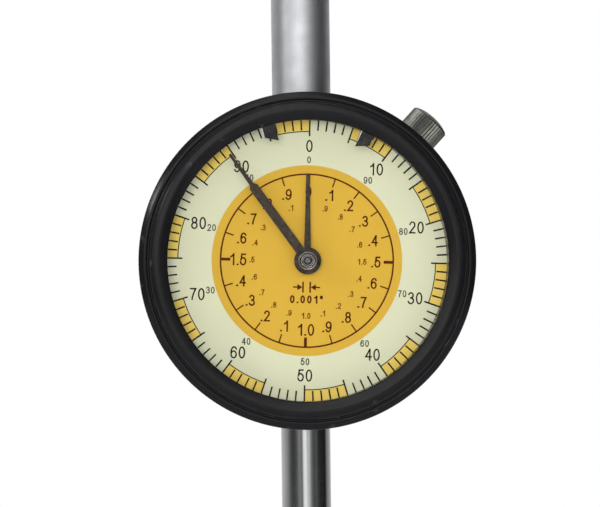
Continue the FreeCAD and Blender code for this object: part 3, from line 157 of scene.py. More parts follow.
# ---- Shader nodes ----
def add(tree, kind, sockets=(), **settings):
    """New node with its settings; sockets maps an input to a value or to another node's output."""
    made = tree.nodes.new("ShaderNode" + kind)
    for key, value in settings.items():
        setattr(made, key, value)
    for key, value in dict(sockets).items():
        if isinstance(value, bpy.types.NodeSocket):
            tree.links.new(value, made.inputs[key])
        else:
            made.inputs[key].default_value = value
    return made


def mix_colour(tree, factor, first, second):
    return add(tree, "Mix", {0: factor, 6: first, 7: second}, data_type="RGBA").outputs[2]


def stretch_range(tree, value, low, high, to_low=0.0, to_high=1.0):
    """Value brought from one range to another, held at its ends."""
    return add(tree, "MapRange", {0: value, 1: low, 2: high, 3: to_low, 4: to_high}).outputs[0]


def maths(tree, operation, *values, **settings):
    return add(tree, "Math", dict(enumerate(values)), operation=operation, **settings).outputs[0]


def times(tree, first, second):
    return maths(tree, "MULTIPLY", first, second)


def vector_maths(tree, operation, *values, output="Vector"):
    return add(tree, "VectorMath", dict(enumerate(values)), operation=operation).outputs[output]


def object_place(tree):
    return add(tree, "TexCoord").outputs["Object"]


def new_group(name, inputs, outputs):
    """Empty shader group; inputs maps a name to its kind and default, outputs a name to its kind."""
    tree = bpy.data.node_groups.new(name, "ShaderNodeTree")
    for label, (kind, value) in inputs.items():
        socket = tree.interface.new_socket(name=label, in_out="INPUT", socket_type="NodeSocket" + kind)
        socket.default_value = value
    for label, kind in outputs.items():
        tree.interface.new_socket(name=label, in_out="OUTPUT", socket_type="NodeSocket" + kind)
    return tree, tree.nodes.new("NodeGroupInput").outputs, tree.nodes.new("NodeGroupOutput").inputs


def noise(tree, scale, detail, vector):
    return add(tree, "TexNoise", {"Scale": scale, "Detail": detail, "Vector": vector}).outputs["Fac"]


def build_uneven_finish():
    """Clouded colour and roughness, with a fine grain as height."""
    tree, given, result = new_group("Uneven Finish", {
        "Colour": ("Color", (0.5, 0.5, 0.5, 1)), "Shade": ("Color", (0.4, 0.4, 0.4, 1)),
        "Scale": ("Float", 200.0), "Smoothest": ("Float", 0.3), "Roughest": ("Float", 0.4)},
        {"Colour": "Color", "Roughness": "Float", "Grain": "Float"})
    place = object_place(tree)
    cloud = stretch_range(tree, noise(tree, given["Scale"], 4.0, place), 0.35, 0.65)
    fine = noise(tree, times(tree, given["Scale"], 9.0), 2.0, place)
    blend = maths(tree, "MULTIPLY_ADD", cloud, 0.65, times(tree, fine, 0.35))
    tree.links.new(mix_colour(tree, blend, given["Colour"], given["Shade"]), result["Colour"])
    rough = stretch_range(tree, blend, 0.0, 1.0, given["Smoothest"], given["Roughest"])
    tree.links.new(rough, result["Roughness"])
    tree.links.new(fine, result["Grain"])
    return tree


def build_turned_lines():
    """Fine lathe lines round an axis through a centre, along a cylinder and across a face."""
    tree, given, result = new_group("Turned Lines", {
        "Centre": ("Vector", (0, 0, 0)), "Across": ("Vector", (1, 1, 0)), "Along": ("Vector", (0, 0, 1)),
        "Lines per metre": ("Float", 4000.0)}, {"Lines": "Float"})
    place = object_place(tree)
    offset = vector_maths(tree, "SUBTRACT", place, given["Centre"])
    across = vector_maths(tree, "MULTIPLY", offset, given["Across"])
    radius = vector_maths(tree, "LENGTH", across, output="Value")
    height = vector_maths(tree, "DOT_PRODUCT", offset, given["Along"], output="Value")
    total = maths(tree, "ADD", radius, height)
    along_lines = times(tree, total, given["Lines per metre"])
    lines = add(tree, "TexNoise", {"W": along_lines, "Scale": 1.0, "Detail": 2.0}, noise_dimensions="1D")
    tree.links.new(stretch_range(tree, lines.outputs["Fac"], 0.3, 0.7), result["Lines"])
    return tree


def build_worn_edges():
    """Bare metal where a raised edge has been rubbed."""
    tree, given, result = new_group("Worn Edges", {
        "Colour": ("Color", (0, 0, 0, 1)), "Bare Colour": ("Color", (0.4, 0.4, 0.4, 1)),
        "Wear": ("Float", 0.5), "Scale": ("Float", 400.0)}, {"Colour": "Color", "Bare": "Float"})
    place = object_place(tree)
    raised = stretch_range(tree, add(tree, "NewGeometry").outputs["Pointiness"], 0.515, 0.58)
    patchy = stretch_range(tree, noise(tree, given["Scale"], 5.0, place), 0.42, 0.68)
    bare = times(tree, times(tree, raised, patchy), given["Wear"])
    tree.links.new(mix_colour(tree, bare, given["Colour"], given["Bare Colour"]), result["Colour"])
    tree.links.new(bare, result["Bare"])
    return tree


def build_settled_dust():
    """Pale dust on faces that look upwards."""
    tree, given, result = new_group("Settled Dust", {
        "Colour": ("Color", (0, 0, 0, 1)), "Dust Colour": ("Color", (0.4, 0.38, 0.34, 1)),
        "Amount": ("Float", 0.1), "Scale": ("Float", 900.0)}, {"Colour": "Color", "Dust": "Float"})
    place = object_place(tree)
    normal = add(tree, "NewGeometry").outputs["Normal"]
    upward = add(tree, "SeparateXYZ", {0: normal}).outputs["Z"]
    specks = stretch_range(tree, noise(tree, given["Scale"], 6.0, place), 0.45, 0.75)
    dust = times(tree, times(tree, stretch_range(tree, upward, -0.2, 1.0), specks), given["Amount"])
    tree.links.new(mix_colour(tree, dust, given["Colour"], given["Dust Colour"]), result["Colour"])
    tree.links.new(dust, result["Dust"])
    return tree


GROUPS = {}


def group_node(tree, name, **sockets):
    """One of the shared shader groups, built the first time it is used."""
    builders = {"Uneven Finish": build_uneven_finish, "Turned Lines": build_turned_lines,
                "Worn Edges": build_worn_edges, "Settled Dust": build_settled_dust}
    if name not in GROUPS:
        GROUPS[name] = builders[name]()
    sockets = {label.replace("_", " "): value for label, value in sockets.items()}
    return add(tree, "Group", sockets, node_tree=GROUPS[name]).outputs


def new_material(name):
    """New material with its node tree and its main shader."""
    made = bpy.data.materials.new(name)
    made.use_nodes = True
    return made, made.node_tree, made.node_tree.nodes["Principled BSDF"]


# Centre, directions across and direction along, for lathe lines about the stem or about the dial.
UPRIGHT = ((0, 0, 0), (1, 1, 0), (0, 0, 1))
FACING = ((0, 0, DIAL_Z * MM), (1, 0, 1), (0, 1, 0))


def finish(name, colour, shade, rough, scale, metallic=0.0, wear=0.0, bare=(0.4, 0.4, 0.42), dust=0.0,
           turned=None, lines=5000.0, grain=0.2, depth=0.004, ior=1.5):
    """Opaque material from the shared effects.

    Shade is a second colour, or a share of the first. Depth is the height of the grain in millimetres.
    """
    made, tree, shader = new_material(name)
    if isinstance(shade, float):
        shade = tuple(part * shade for part in colour)
    uneven = group_node(tree, "Uneven Finish", Colour=(*colour, 1), Shade=(*shade, 1), Scale=scale,
                        Smoothest=rough[0], Roughest=rough[1])
    tint, roughness, height = uneven["Colour"], uneven["Roughness"], uneven["Grain"]
    shader.inputs["Metallic"].default_value = metallic
    if turned:
        centre, across, along = turned
        drawn = group_node(tree, "Turned Lines", Centre=centre, Across=across, Along=along, Lines_per_metre=lines)
        height = maths(tree, "MULTIPLY_ADD", drawn["Lines"], 1.0, times(tree, height, 0.4))
        roughness = maths(tree, "MULTIPLY_ADD", drawn["Lines"], 0.08, roughness)
    if wear:
        worn = group_node(tree, "Worn Edges", Colour=tint, Bare_Colour=(*bare, 1), Wear=wear, Scale=scale * 2)
        tint = worn["Colour"]
        if not metallic:
            tree.links.new(worn["Bare"], shader.inputs["Metallic"])
    if dust:
        settled = group_node(tree, "Settled Dust", Colour=tint, Amount=dust)
        tint = settled["Colour"]
        roughness = maths(tree, "MULTIPLY_ADD", settled["Dust"], 0.5, roughness, use_clamp=True)
    bump = add(tree, "Bump", {"Strength": grain, "Distance": depth * MM, "Height": height})
    tree.links.new(tint, shader.inputs["Base Color"])
    tree.links.new(roughness, shader.inputs["Roughness"])
    tree.links.new(bump.outputs["Normal"], shader.inputs["Normal"])
    shader.inputs["IOR"].default_value = ior
    return made


def build_glass():
    """Clear crystal that lets the light on the dial through."""
    made, tree, shader = new_material("clear_crystal")
    uneven = group_node(tree, "Uneven Finish", Colour=(1, 1, 1, 1), Shade=(0.985, 0.99, 0.985, 1), Scale=60.0,
                        Smoothest=0.0, Roughest=0.02)
    tree.links.new(uneven["Colour"], shader.inputs["Base Color"])
    tree.links.new(uneven["Roughness"], shader.inputs["Roughness"])
    shader.inputs["Transmission Weight"].default_value = 1.0
    shader.inputs["IOR"].default_value = 1.25
    ray = add(tree, "LightPath").outputs
    lit = maths(tree, "MAXIMUM", ray["Is Shadow Ray"], ray["Is Diffuse Ray"])
    through = maths(tree, "MAXIMUM", lit, ray["Is Glossy Ray"])
    clear = add(tree, "BsdfTransparent").outputs[0]
    mixed = add(tree, "MixShader", {0: through, 1: shader.outputs[0], 2: clear}).outputs[0]
    tree.links.new(mixed, tree.nodes["Material Output"].inputs["Surface"])
    return made


def recipes():
    """Colour, shade, roughness, scale of the clouding and whatever else differs, for each finish."""
    c = colours()
    metal, rubbed = {"metallic": 1.0}, {"wear": 0.2, "bare": (0.2, 0.2, 0.21)}
    printed, ink = {"grain": 0.1, "ior": 1.2}, {"ior": 1.15}
    dull, inky = (0.42, 0.55), (0.5, 0.65)
    return {
        "black_enamel": (c.enamel, 0.7, (0.18, 0.28), 320, dict(rubbed, dust=0.02, depth=0.006, ior=1.27)),
        "case_enamel": (c.enamel, 0.65, (0.34, 0.46), 280,
                        dict(rubbed, dust=0.05, depth=0.012, grain=0.3, ior=1.35)),
        "black_steel": ((0.008, 0.008, 0.008), (0.005, 0.005, 0.005), (0.26, 0.4), 250,
                        dict(wear=0.25, bare=(0.3, 0.27, 0.24), ior=1.3)),
        "blued_steel": ((0.05, 0.052, 0.06), (0.03, 0.031, 0.036), (0.22, 0.34), 900, dict(metal, wear=0.7)),
        "hand_finish": (c.hands, 0.6, (0.3, 0.42), 700, dict(wear=0.3, bare=(0.2, 0.16, 0.11), ior=1.35)),
        "satin_chrome": ((0.60, 0.61, 0.63), 0.82, (0.34, 0.44), 300,
                         dict(metal, dust=0.02, turned=UPRIGHT, lines=9000, grain=0.6, depth=0.008)),
        "polished_steel": ((0.56, 0.565, 0.57), 0.88, (0.05, 0.09), 150,
                           dict(metal, turned=UPRIGHT, lines=7000, grain=0.05, depth=0.001)),
        "nickel": ((0.21, 0.21, 0.19), (0.12, 0.12, 0.105), (0.3, 0.5), 500,
                   dict(metal, wear=0.5, bare=(0.6, 0.58, 0.55), dust=0.06, grain=0.4)),
        "bright_boss": ((0.33, 0.31, 0.30), (0.22, 0.2, 0.19), (0.1, 0.16), 300,
                        dict(metal, grain=0.05, depth=0.001)),
        "brass": ((0.62, 0.44, 0.17), 0.8, (0.25, 0.35), 200, dict(metal, turned=FACING)),
        "bronze": ((0.42, 0.24, 0.12), (0.33, 0.18, 0.09), (0.3, 0.42), 220, dict(metal, turned=UPRIGHT)),
        "spring_steel": ((0.3, 0.31, 0.33), (0.2, 0.21, 0.23), (0.25, 0.35), 400, metal),
        "carbide": ((0.4, 0.4, 0.41), (0.34, 0.34, 0.35), (0.08, 0.14), 900, metal),
        "ruby": ((0.28, 0.01, 0.02), 0.7, (0.05, 0.1), 600, dict(ior=1.76)),
        "gasket": ((0.02, 0.02, 0.02), (0.012, 0.012, 0.012), (0.6, 0.8), 500, dict(grain=0.5, depth=0.02)),
        "dial_paint": (c.dial, 0.975, dull, 60, printed),
        "centre_paint": (c.centre, 0.96, dull, 90, printed),
        "band_paint": (c.bands, 0.92, dull, 300, printed),
        "dial_ink": (c.ink, 1.4, inky, 900, ink),
        "grey_ink": (paint(84, 84, 74), paint(72, 72, 62), inky, 900, ink),
        "brown_ink": (c.brown_ink, 1.3, inky, 900, ink),
        "pale_brown_ink": (paint(132, 84, 18), paint(120, 76, 14), inky, 900, ink),
    }


MATERIALS = {}


def material(name):
    """The named finish, built the first time it is used."""
    if name not in MATERIALS and name == "crystal":
        MATERIALS[name] = build_glass()
    elif name not in MATERIALS:
        *leading, rest = recipes()[name]
        MATERIALS[name] = finish(name, *leading, **rest)
    return MATERIALS[name]


# ---- Mesh helpers: everything is drawn in millimetres and brought to metres at the end ----
def axes(across, upward, along, origin):
    """Matrix that puts drawing x, y and z along three directions from an origin."""
    turned = Matrix((across, upward, along)).transposed().to_4x4()
    return Matrix.Translation(origin) @ turned


ABOUT_DIAL = axes((1, 0, 0), (0, 0, -1), (0, 1, 0), (0, 0, DIAL_Z))
ON_FACE = axes((1, 0, 0), (0, 0, 1), (0, -1, 0), (0, 0, DIAL_Z))
ABOUT_STEM = Matrix.Identity(4)


def clockwise(degrees):
    """Turn about the drawing's z, clockwise as the dial is read."""
    return Matrix.Rotation(-math.radians(degrees), 4, "Z")


def clock(radius, degrees):
    """Drawing point at a clock position."""
    angle = math.radians(degrees)
    return radius * math.sin(angle), radius * math.cos(angle)


def verts_in(geometry):
    return [item for item in geometry if isinstance(item, bmesh.types.BMVert)]


def lathe(bm, profile, steps, place=None, sweep=360.0, start=0.0, closed=False):
    """Adds a profile of (radius, height, rounding) spun about z; rounding is optional."""
    wire = bmesh.new()
    dots = [wire.verts.new((point[0], 0, point[1])) for point in profile]
    for first, second in zip(dots, dots[1:] + dots[:1] if closed else dots[1:]):
        wire.edges.new((first, second))
    rounded = [(dot, point[2]) for dot, point in zip(dots, profile) if len(point) > 2]
    for dot, rounding in rounded:
        bmesh.ops.bevel(wire, geom=[dot], offset=rounding, offset_type="OFFSET", segments=5, profile=0.5,
                        affect="VERTICES", material=-1)
    if start:
        bmesh.ops.rotate(wire, verts=wire.verts, cent=(0, 0, 0),
                         matrix=Matrix.Rotation(math.radians(start), 3, "Z"))
    full = sweep >= 360
    spun = wire.verts[:] + wire.edges[:]
    if not full:
        spun += bmesh.ops.contextual_create(wire, geom=wire.edges[:])["faces"]
    bmesh.ops.spin(wire, geom=spun, cent=(0, 0, 0), axis=(0, 0, 1), angle=math.radians(sweep), steps=steps,
                   use_merge=full)
    bmesh.ops.remove_doubles(wire, verts=wire.verts, dist=1e-4)
    bmesh.ops.recalc_face_normals(wire, faces=wire.faces)
    join(bm, wire, place)


def rod(bm, radius, low, high, steps, place):
    """Adds a plain round bar between two heights."""
    lathe(bm, [(0, low), (radius, low), (radius, high), (0, high)], steps, place)


def spun(name, profile, steps, place, closed=False):
    """Object made by spinning one profile."""
    bm = bmesh.new()
    lathe(bm, profile, steps, place, closed=closed)
    return to_object(name, bm)


def knurl(bm, radius, ridges, deep):
    """Sinks every second line of a spun rim, which leaves ridges along it."""
    step = math.pi / ridges
    for vert in bm.verts:
        on_rim = math.hypot(vert.co.x, vert.co.y) > radius - 0.02
        if on_rim and round(math.atan2(vert.co.y, vert.co.x) / step) % 2:
            vert.co.xy *= (radius - deep) / radius


def join(bm, other, place=None):
    """Moves another bmesh to its place and adds it."""
    if place is not None:
        bmesh.ops.transform(other, matrix=place, verts=other.verts)
    carrier = bpy.data.meshes.new("carrier")
    other.to_mesh(carrier)
    other.free()
    bm.from_mesh(carrier)
    bpy.data.meshes.remove(carrier)


def plate(bm, outline, low, high, place=None, edge=0.0):
    """Adds a flat plate drawn as (x, y) points between two heights, with its edges bevelled."""
    flat = bmesh.new()
    face = flat.faces.new([flat.verts.new((x, y, low)) for x, y in outline])
    lifted = bmesh.ops.extrude_face_region(flat, geom=[face])["geom"]
    bmesh.ops.translate(flat, vec=(0, 0, high - low), verts=verts_in(lifted))
    bmesh.ops.recalc_face_normals(flat, faces=flat.faces)
    if edge:
        soften(flat, edge)
    join(bm, flat, place)


def smooth_copy(name, node):
    """Merged copy of a CAD node, for shading its round faces smooth."""
    bm = bmesh.new()
    source = frame["nodes"][node]
    bm.from_mesh(source.data)
    bmesh.ops.transform(bm, matrix=Matrix.Scale(1 / MM, 4) @ source.matrix_world, verts=bm.verts)
    bmesh.ops.remove_doubles(bm, verts=bm.verts, dist=1e-4)
    return to_object(name, bm)


def soften(bm, width, segments=2, angle=28.0):
    """Bevels every edge sharper than an angle."""
    limit = math.radians(angle)
    sharp = [edge for edge in bm.edges if edge.is_manifold and edge.calc_face_angle(0.0) > limit]
    bmesh.ops.bevel(bm, geom=sharp, offset=width, offset_type="OFFSET", segments=segments, profile=0.5,
                    affect="EDGES", clamp_overlap=True, material=-1)


def bar(bm, width, height, thick, place):
    """Adds a thin rectangular bar about the drawing's origin."""
    bmesh.ops.create_cube(bm, size=1.0, matrix=place @ Matrix.Diagonal((width, height, thick, 1)))


def smooth(mesh):
    """Smooth shading except at sharp edges."""
    mesh.shade_smooth()
    mesh.set_sharp_from_angle(angle=math.radians(32))


def to_object(name, bm):
    """Object at the origin, from a bmesh drawn in millimetres."""
    bmesh.ops.scale(bm, vec=(MM, MM, MM), verts=bm.verts)
    mesh = bpy.data.meshes.new(name)
    bm.to_mesh(mesh)
    bm.free()
    smooth(mesh)
    piece = bpy.data.objects.new(name, mesh)
    bpy.context.scene.collection.objects.link(piece)
    return piece


def fit(piece, node, look):
    """Gives a piece its finish, and the body of the node that it belongs to."""
    piece.data.materials.clear()
    piece.data.materials.append(material(look))
    piece.modifiers.new("flats", "WEIGHTED_NORMAL").keep_sharp = True
    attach(piece, BODY_OF[node])
    return piece


def stand_in(piece, node, look):
    """As fit, and hides the node, which the piece stands for."""
    fit(piece, node, look)
    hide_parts(node)
    return piece


def carve(piece, cutter_bm):
    """Cuts a drawn solid out of an object."""
    cutter = to_object("cutter", cutter_bm)
    cut = piece.modifiers.new("cut", "BOOLEAN")
    cut.operation, cut.solver, cut.object = "DIFFERENCE", "EXACT", cutter
    graph = bpy.context.evaluated_depsgraph_get()
    carved = bpy.data.meshes.new_from_object(piece.evaluated_get(graph))
    piece.modifiers.clear()
    piece.data = carved
    carved.name = piece.name
    bpy.data.objects.remove(cutter)
    smooth(carved)
    return piece


def round_edges(piece, width, segments=2):
    """Bevel modifier on the sharp edges of a finished piece."""
    bevel = piece.modifiers.new("edges", "BEVEL")
    bevel.width, bevel.segments, bevel.limit_method = width * MM, segments, "ANGLE"
    bevel.angle_limit = math.radians(35)
    return piece


# ---- Numerals and places on the dial ----
def bend(x, y, across, tall, start, end, count=14):
    """Points on part of an ellipse, for a numeral's stroke."""
    turns = [math.radians(start + (end - start) * i / count) for i in range(count + 1)]
    return [(x + across * math.cos(turn), y + tall * math.sin(turn)) for turn in turns]


# Strokes of each numeral, one unit tall, and the widths that differ from the usual cell.
SIX = [bend(0.25, 0.5, 0.25, 0.5, 40, 182), bend(0.22, 0.31, 0.22, 0.31, 0, 360, 24)]
NUMERALS = {
    "0": [bend(0.22, 0.5, 0.22, 0.5, 0, 360, 28)],
    "1": [[(0.3, 0), (0.3, 1)], [(0.06, 0.76), (0.18, 0.83), (0.28, 0.96)]],
    "2": [bend(0.22, 0.73, 0.21, 0.27, 170, -38) + [(0, 0), (0.44, 0)]],
    "3": [bend(0.21, 0.76, 0.19, 0.24, 160, -90), bend(0.21, 0.27, 0.23, 0.27, 90, -160)],
    "4": [[(0.35, 0), (0.35, 1)], [(0.33, 0.97), (0, 0.3), (0.47, 0.3)]],
    "5": [[(0.41, 1), (0.09, 1), (0.04, 0.52)] + bend(0.21, 0.33, 0.23, 0.33, 122, -160)],
    "6": SIX,
    "7": [[(0, 1), (0.44, 1), (0.28, 0.6), (0.18, 0.25), (0.15, 0)]],
    "8": [bend(0.22, 0.76, 0.19, 0.24, 0, 360, 20), bend(0.22, 0.27, 0.22, 0.27, 0, 360, 22)],
    "9": [[(0.44 - x, 1 - y) for x, y in stroke] for stroke in SIX],
    ".": [[(-0.01, 0.02), (0.03, 0.02)]],
    "\"": [[(0, 1), (0, 0.72)], [(0.17, 1), (0.17, 0.72)]],
}
CELL, CELLS = 0.44, {".": 0.0, "\"": 0.17, "1": 0.36}
NUMERAL_WIDE = 1.08
LAYER = 0.9     # thickness of a print, as a share of the step between layers


def lettering(bm, text, height, stroke, place, spacing=0.14):
    """Adds upright strokes of ink for a label, centred on its place; pen() gives them their width."""
    tall = height - stroke
    across = tall * NUMERAL_WIDE
    ink = sizes().ink / MM
    label = bmesh.new()
    pen_x = 0.0
    for sign in text:
        for points in NUMERALS[sign]:
            closed = len(points) > 12 and math.dist(points[0], points[-1]) < 1e-6
            spots = [Vector((pen_x + x * across, y * tall, -LAYER / 2 * ink)) for x, y in points]
            if closed:
                spots.pop()
            else:
                spots[0] += (spots[0] - spots[1]).normalized() * stroke / 2
                spots[-1] += (spots[-1] - spots[-2]).normalized() * stroke / 2
            dots = [label.verts.new(spot) for spot in spots]
            for first, second in zip(dots, dots[1:] + dots[:1] if closed else dots[1:]):
                label.edges.new((first, second))
        pen_x += CELLS.get(sign, CELL) * across + stroke + spacing * height
    middle = (pen_x - stroke - spacing * height) / 2
    raised = bmesh.ops.extrude_edge_only(label, edges=label.edges[:])["geom"]
    bmesh.ops.translate(label, vec=(0, 0, LAYER * ink), verts=verts_in(raised))
    bmesh.ops.translate(label, vec=(-middle, -tall / 2, 0), verts=label.verts)
    join(bm, label, place)


def pen(piece, width):
    """Gives drawn strokes their width."""
    stroke = piece.modifiers.new("stroke", "SOLIDIFY")
    stroke.thickness, stroke.offset, stroke.use_even_offset = width * MM, 0.0, True
    return piece


def dial_spot(radius, degrees, layer):
    """Upright drawing place at a clock position on the printed dial, so many ink layers up."""
    turned = clockwise(math.degrees(sizes().dial_turn))
    height = -DIAL_FRONT + (layer - 0.5) * sizes().ink / MM
    return ON_FACE @ turned @ Matrix.Translation((*clock(radius, degrees), height))


def dial_ray(radius, degrees, layer):
    """As dial_spot, with the drawing's y pointing outwards."""
    turned = clockwise(math.degrees(sizes().dial_turn) + degrees)
    height = -DIAL_FRONT + (layer - 0.5) * sizes().ink / MM
    return ON_FACE @ turned @ Matrix.Translation((0, radius, height))


# ---- Stage ----
class INDICATOR_OT_stage(Operator):
    """Pale floor, soft studio light and the camera"""
    bl_idname = "indicator.stage"
    bl_label = "Stage"

    CAMERA_DISTANCE, CAMERA_SIDE, CAMERA_ROLL, LENS = 0.45, -3.3, -0.75, 143.6
    AIM = Vector((-0.0014, -0.013, (DIAL_Z + 1.38) * MM))
    # Name, degrees to the side, degrees up, distance, size, power, seen in shiny faces.
    LAMPS = (("key", -9, 4, 0.7, 0.2, 1.8, False), ("fill", 12, 8, 0.7, 0.2, 0.4, False),
             ("side", -67, 23, 0.6, 0.08, 0.5, True))
    # The studio as shiny faces see it: degrees round from the front, and brightness.
    UPPER = (
        (-180, 1.3), (-154, 1.15), (-117, 0.75), (-92, 0.25), (-71, 0.12), (-53, 1.2), (-37, 2.7), (-21, 3.4),
        (-6, 3.4), (9, 2.8), (24, 1.4), (40, 0.58), (56, 0.2), (73, 0.05), (93, 0.04), (117, 0.22),
        (154, 1.05), (180, 1.3))
    LOWER = (
        (-180, 1.3), (-126, 0.95), (-101, 0.6), (-81, 0.18), (-64, 0.08), (-49, 0.14), (-38, 0.36), (-34, 0.5),
        (-27, 0.3), (-20, 0.4), (-14, 1.9), (-4, 2.1), (4, 1.5), (12, 1.1), (20, 0.4), (33, 0.1), (44, 0.2),
        (58, 0.05), (76, 0.03), (98, 0.02), (110, 0.45), (122, 0.6), (150, 1.05), (180, 1.3))
    DIMMED, SHINY, PLAIN, BLEND = 0.5, 1.3, 0.55, 0.05
    # Dark opening in the studio behind the camera: its direction, its edge in degrees, and its tone.
    OPPOSITE, OPENING_EDGE, OPENING_TONE = (0.0576, -0.9983, 0.0), (5.0, 3.6), (0.12, 0.12, 0.13, 1)
    FLOOR_R, FLOOR_GAP, FLOOR_TONE, FLOOR_GLOW = 420.0, 1.0, (0.9, 0.9, 0.9, 1), 0.25

    def aim(self, item, target, distance, side, lift=0.0, roll=0.0):
        """Puts a camera or lamp so many degrees round and up from the front, facing its target."""
        side, lift = math.radians(side), math.radians(lift)
        away = Vector((math.sin(side) * math.cos(lift), -math.cos(side) * math.cos(lift), math.sin(lift)))
        item.location = target + away * distance
        level = (-away).to_track_quat("-Z", "Y").to_matrix().to_4x4()
        item.rotation_euler = (level @ Matrix.Rotation(math.radians(roll), 4, "Z")).to_euler()
        bpy.context.scene.collection.objects.link(item)

    def camera(self):
        data = bpy.data.cameras.new("camera")
        data.lens, data.sensor_width, data.clip_start = self.LENS, 36.0, 0.01
        eye = bpy.data.objects.new("camera", data)
        self.aim(eye, self.AIM, self.CAMERA_DISTANCE, self.CAMERA_SIDE, roll=self.CAMERA_ROLL)
        bpy.context.scene.camera = eye

    def lamp(self, name, side, lift, distance, size, power, mirrored):
        data = bpy.data.lights.new(name, "AREA")
        data.shape, data.size, data.energy = "SQUARE", size, power
        lamp = bpy.data.objects.new(name, data)
        lamp.visible_glossy, lamp.visible_transmission = mirrored, False
        self.aim(lamp, Vector((0, 0, DIAL_Z * MM)), distance, side, lift)

    def ramp(self, tree, position, stops):
        """Brightness by direction round the studio."""
        made = add(tree, "ValToRGB", {0: position})
        band = made.color_ramp
        band.interpolation = "LINEAR"
        for degrees, brightness in stops[1:-1]:
            band.elements.new(degrees / 360 + 0.5)
        for element, (degrees, brightness) in zip(band.elements, stops):
            element.position = degrees / 360 + 0.5
            element.color = (*[brightness * self.DIMMED] * 3, 1)
        return made.outputs["Color"]

    def studio(self):
        world = bpy.data.worlds.new("studio")
        bpy.context.scene.world = world
        world.use_nodes = True
        tree = world.node_tree
        tree.nodes.clear()
        look = add(tree, "TexCoord").outputs["Generated"]
        parts = add(tree, "SeparateXYZ", {0: look}).outputs
        angle = maths(tree, "ARCTAN2", parts["X"], times(tree, parts["Y"], -1.0))
        turn = maths(tree, "MULTIPLY_ADD", angle, 1 / (2 * math.pi), 0.5)
        upper, lower = self.ramp(tree, turn, self.UPPER), self.ramp(tree, turn, self.LOWER)
        rise = stretch_range(tree, parts["Z"], -self.BLEND, self.BLEND)
        band = mix_colour(tree, rise, lower, upper)
        facing = vector_maths(tree, "DOT_PRODUCT", look, self.OPPOSITE, output="Value")
        opening = stretch_range(tree, facing, *[math.cos(math.radians(edge)) for edge in self.OPENING_EDGE])
        band = mix_colour(tree, opening, band, self.OPENING_TONE)
        ray = add(tree, "LightPath").outputs
        seen = maths(tree, "MAXIMUM", ray["Is Camera Ray"], ray["Is Transmission Ray"])
        plain = add(tree, "Background", {0: (0.97, 0.98, 1.0, 1), 1: self.PLAIN}).outputs[0]
        shiny = add(tree, "Background", {0: band, 1: self.SHINY}).outputs[0]
        white = add(tree, "Background", {0: (1, 1, 1, 1), 1: 1.0}).outputs[0]
        lit = add(tree, "MixShader", {0: ray["Is Glossy Ray"], 1: plain, 2: shiny}).outputs[0]
        out = add(tree, "MixShader", {0: seen, 1: lit, 2: white}).outputs[0]
        add(tree, "OutputWorld", {"Surface": out})

    def floor(self):
        """Pale sheet under the contact point: white to the eye, and it keeps the object's shadow."""
        bm = bmesh.new()
        drop = corners("contact_ball")[0].z - self.FLOOR_GAP
        bmesh.ops.create_circle(bm, cap_ends=True, radius=self.FLOOR_R, segments=96,
                                matrix=Matrix.Translation((0, 0, drop)))
        floor = to_object("stage_floor", bm)
        sheet, tree, shader = new_material("floor_sheet")
        shader.inputs["Base Color"].default_value = self.FLOOR_TONE
        shader.inputs["Roughness"].default_value = 0.9
        ray = add(tree, "LightPath").outputs
        seen = maths(tree, "MAXIMUM", ray["Is Camera Ray"], ray["Is Transmission Ray"])
        share = times(tree, seen, self.FLOOR_GLOW)
        glow = add(tree, "Emission", {"Color": (1, 1, 1, 1), "Strength": 1.0}).outputs[0]
        mixed = add(tree, "MixShader", {0: share, 1: shader.outputs[0], 2: glow}).outputs[0]
        tree.links.new(mixed, tree.nodes["Material Output"].inputs["Surface"])
        floor.data.materials.append(sheet)

    def execute(self, context):
        context.scene.view_settings.view_transform = "Standard"
        self.camera()
        self.studio()
        for settings in self.LAMPS:
            self.lamp(*settings)
        self.floor()
        return {"FINISHED"}


# ---- Pieces ----
class INDICATOR_OT_works(Operator):
    """Finishes of the gears, shafts, bearings and other parts inside"""
    bl_idname = "indicator.works"
    bl_label = "Works"

    def execute(self, context):
        for name, node in frame["nodes"].items():
            node.data.materials.clear()
            node.data.materials.append(material(SLOT_OF[name]))
        return {"FINISHED"}


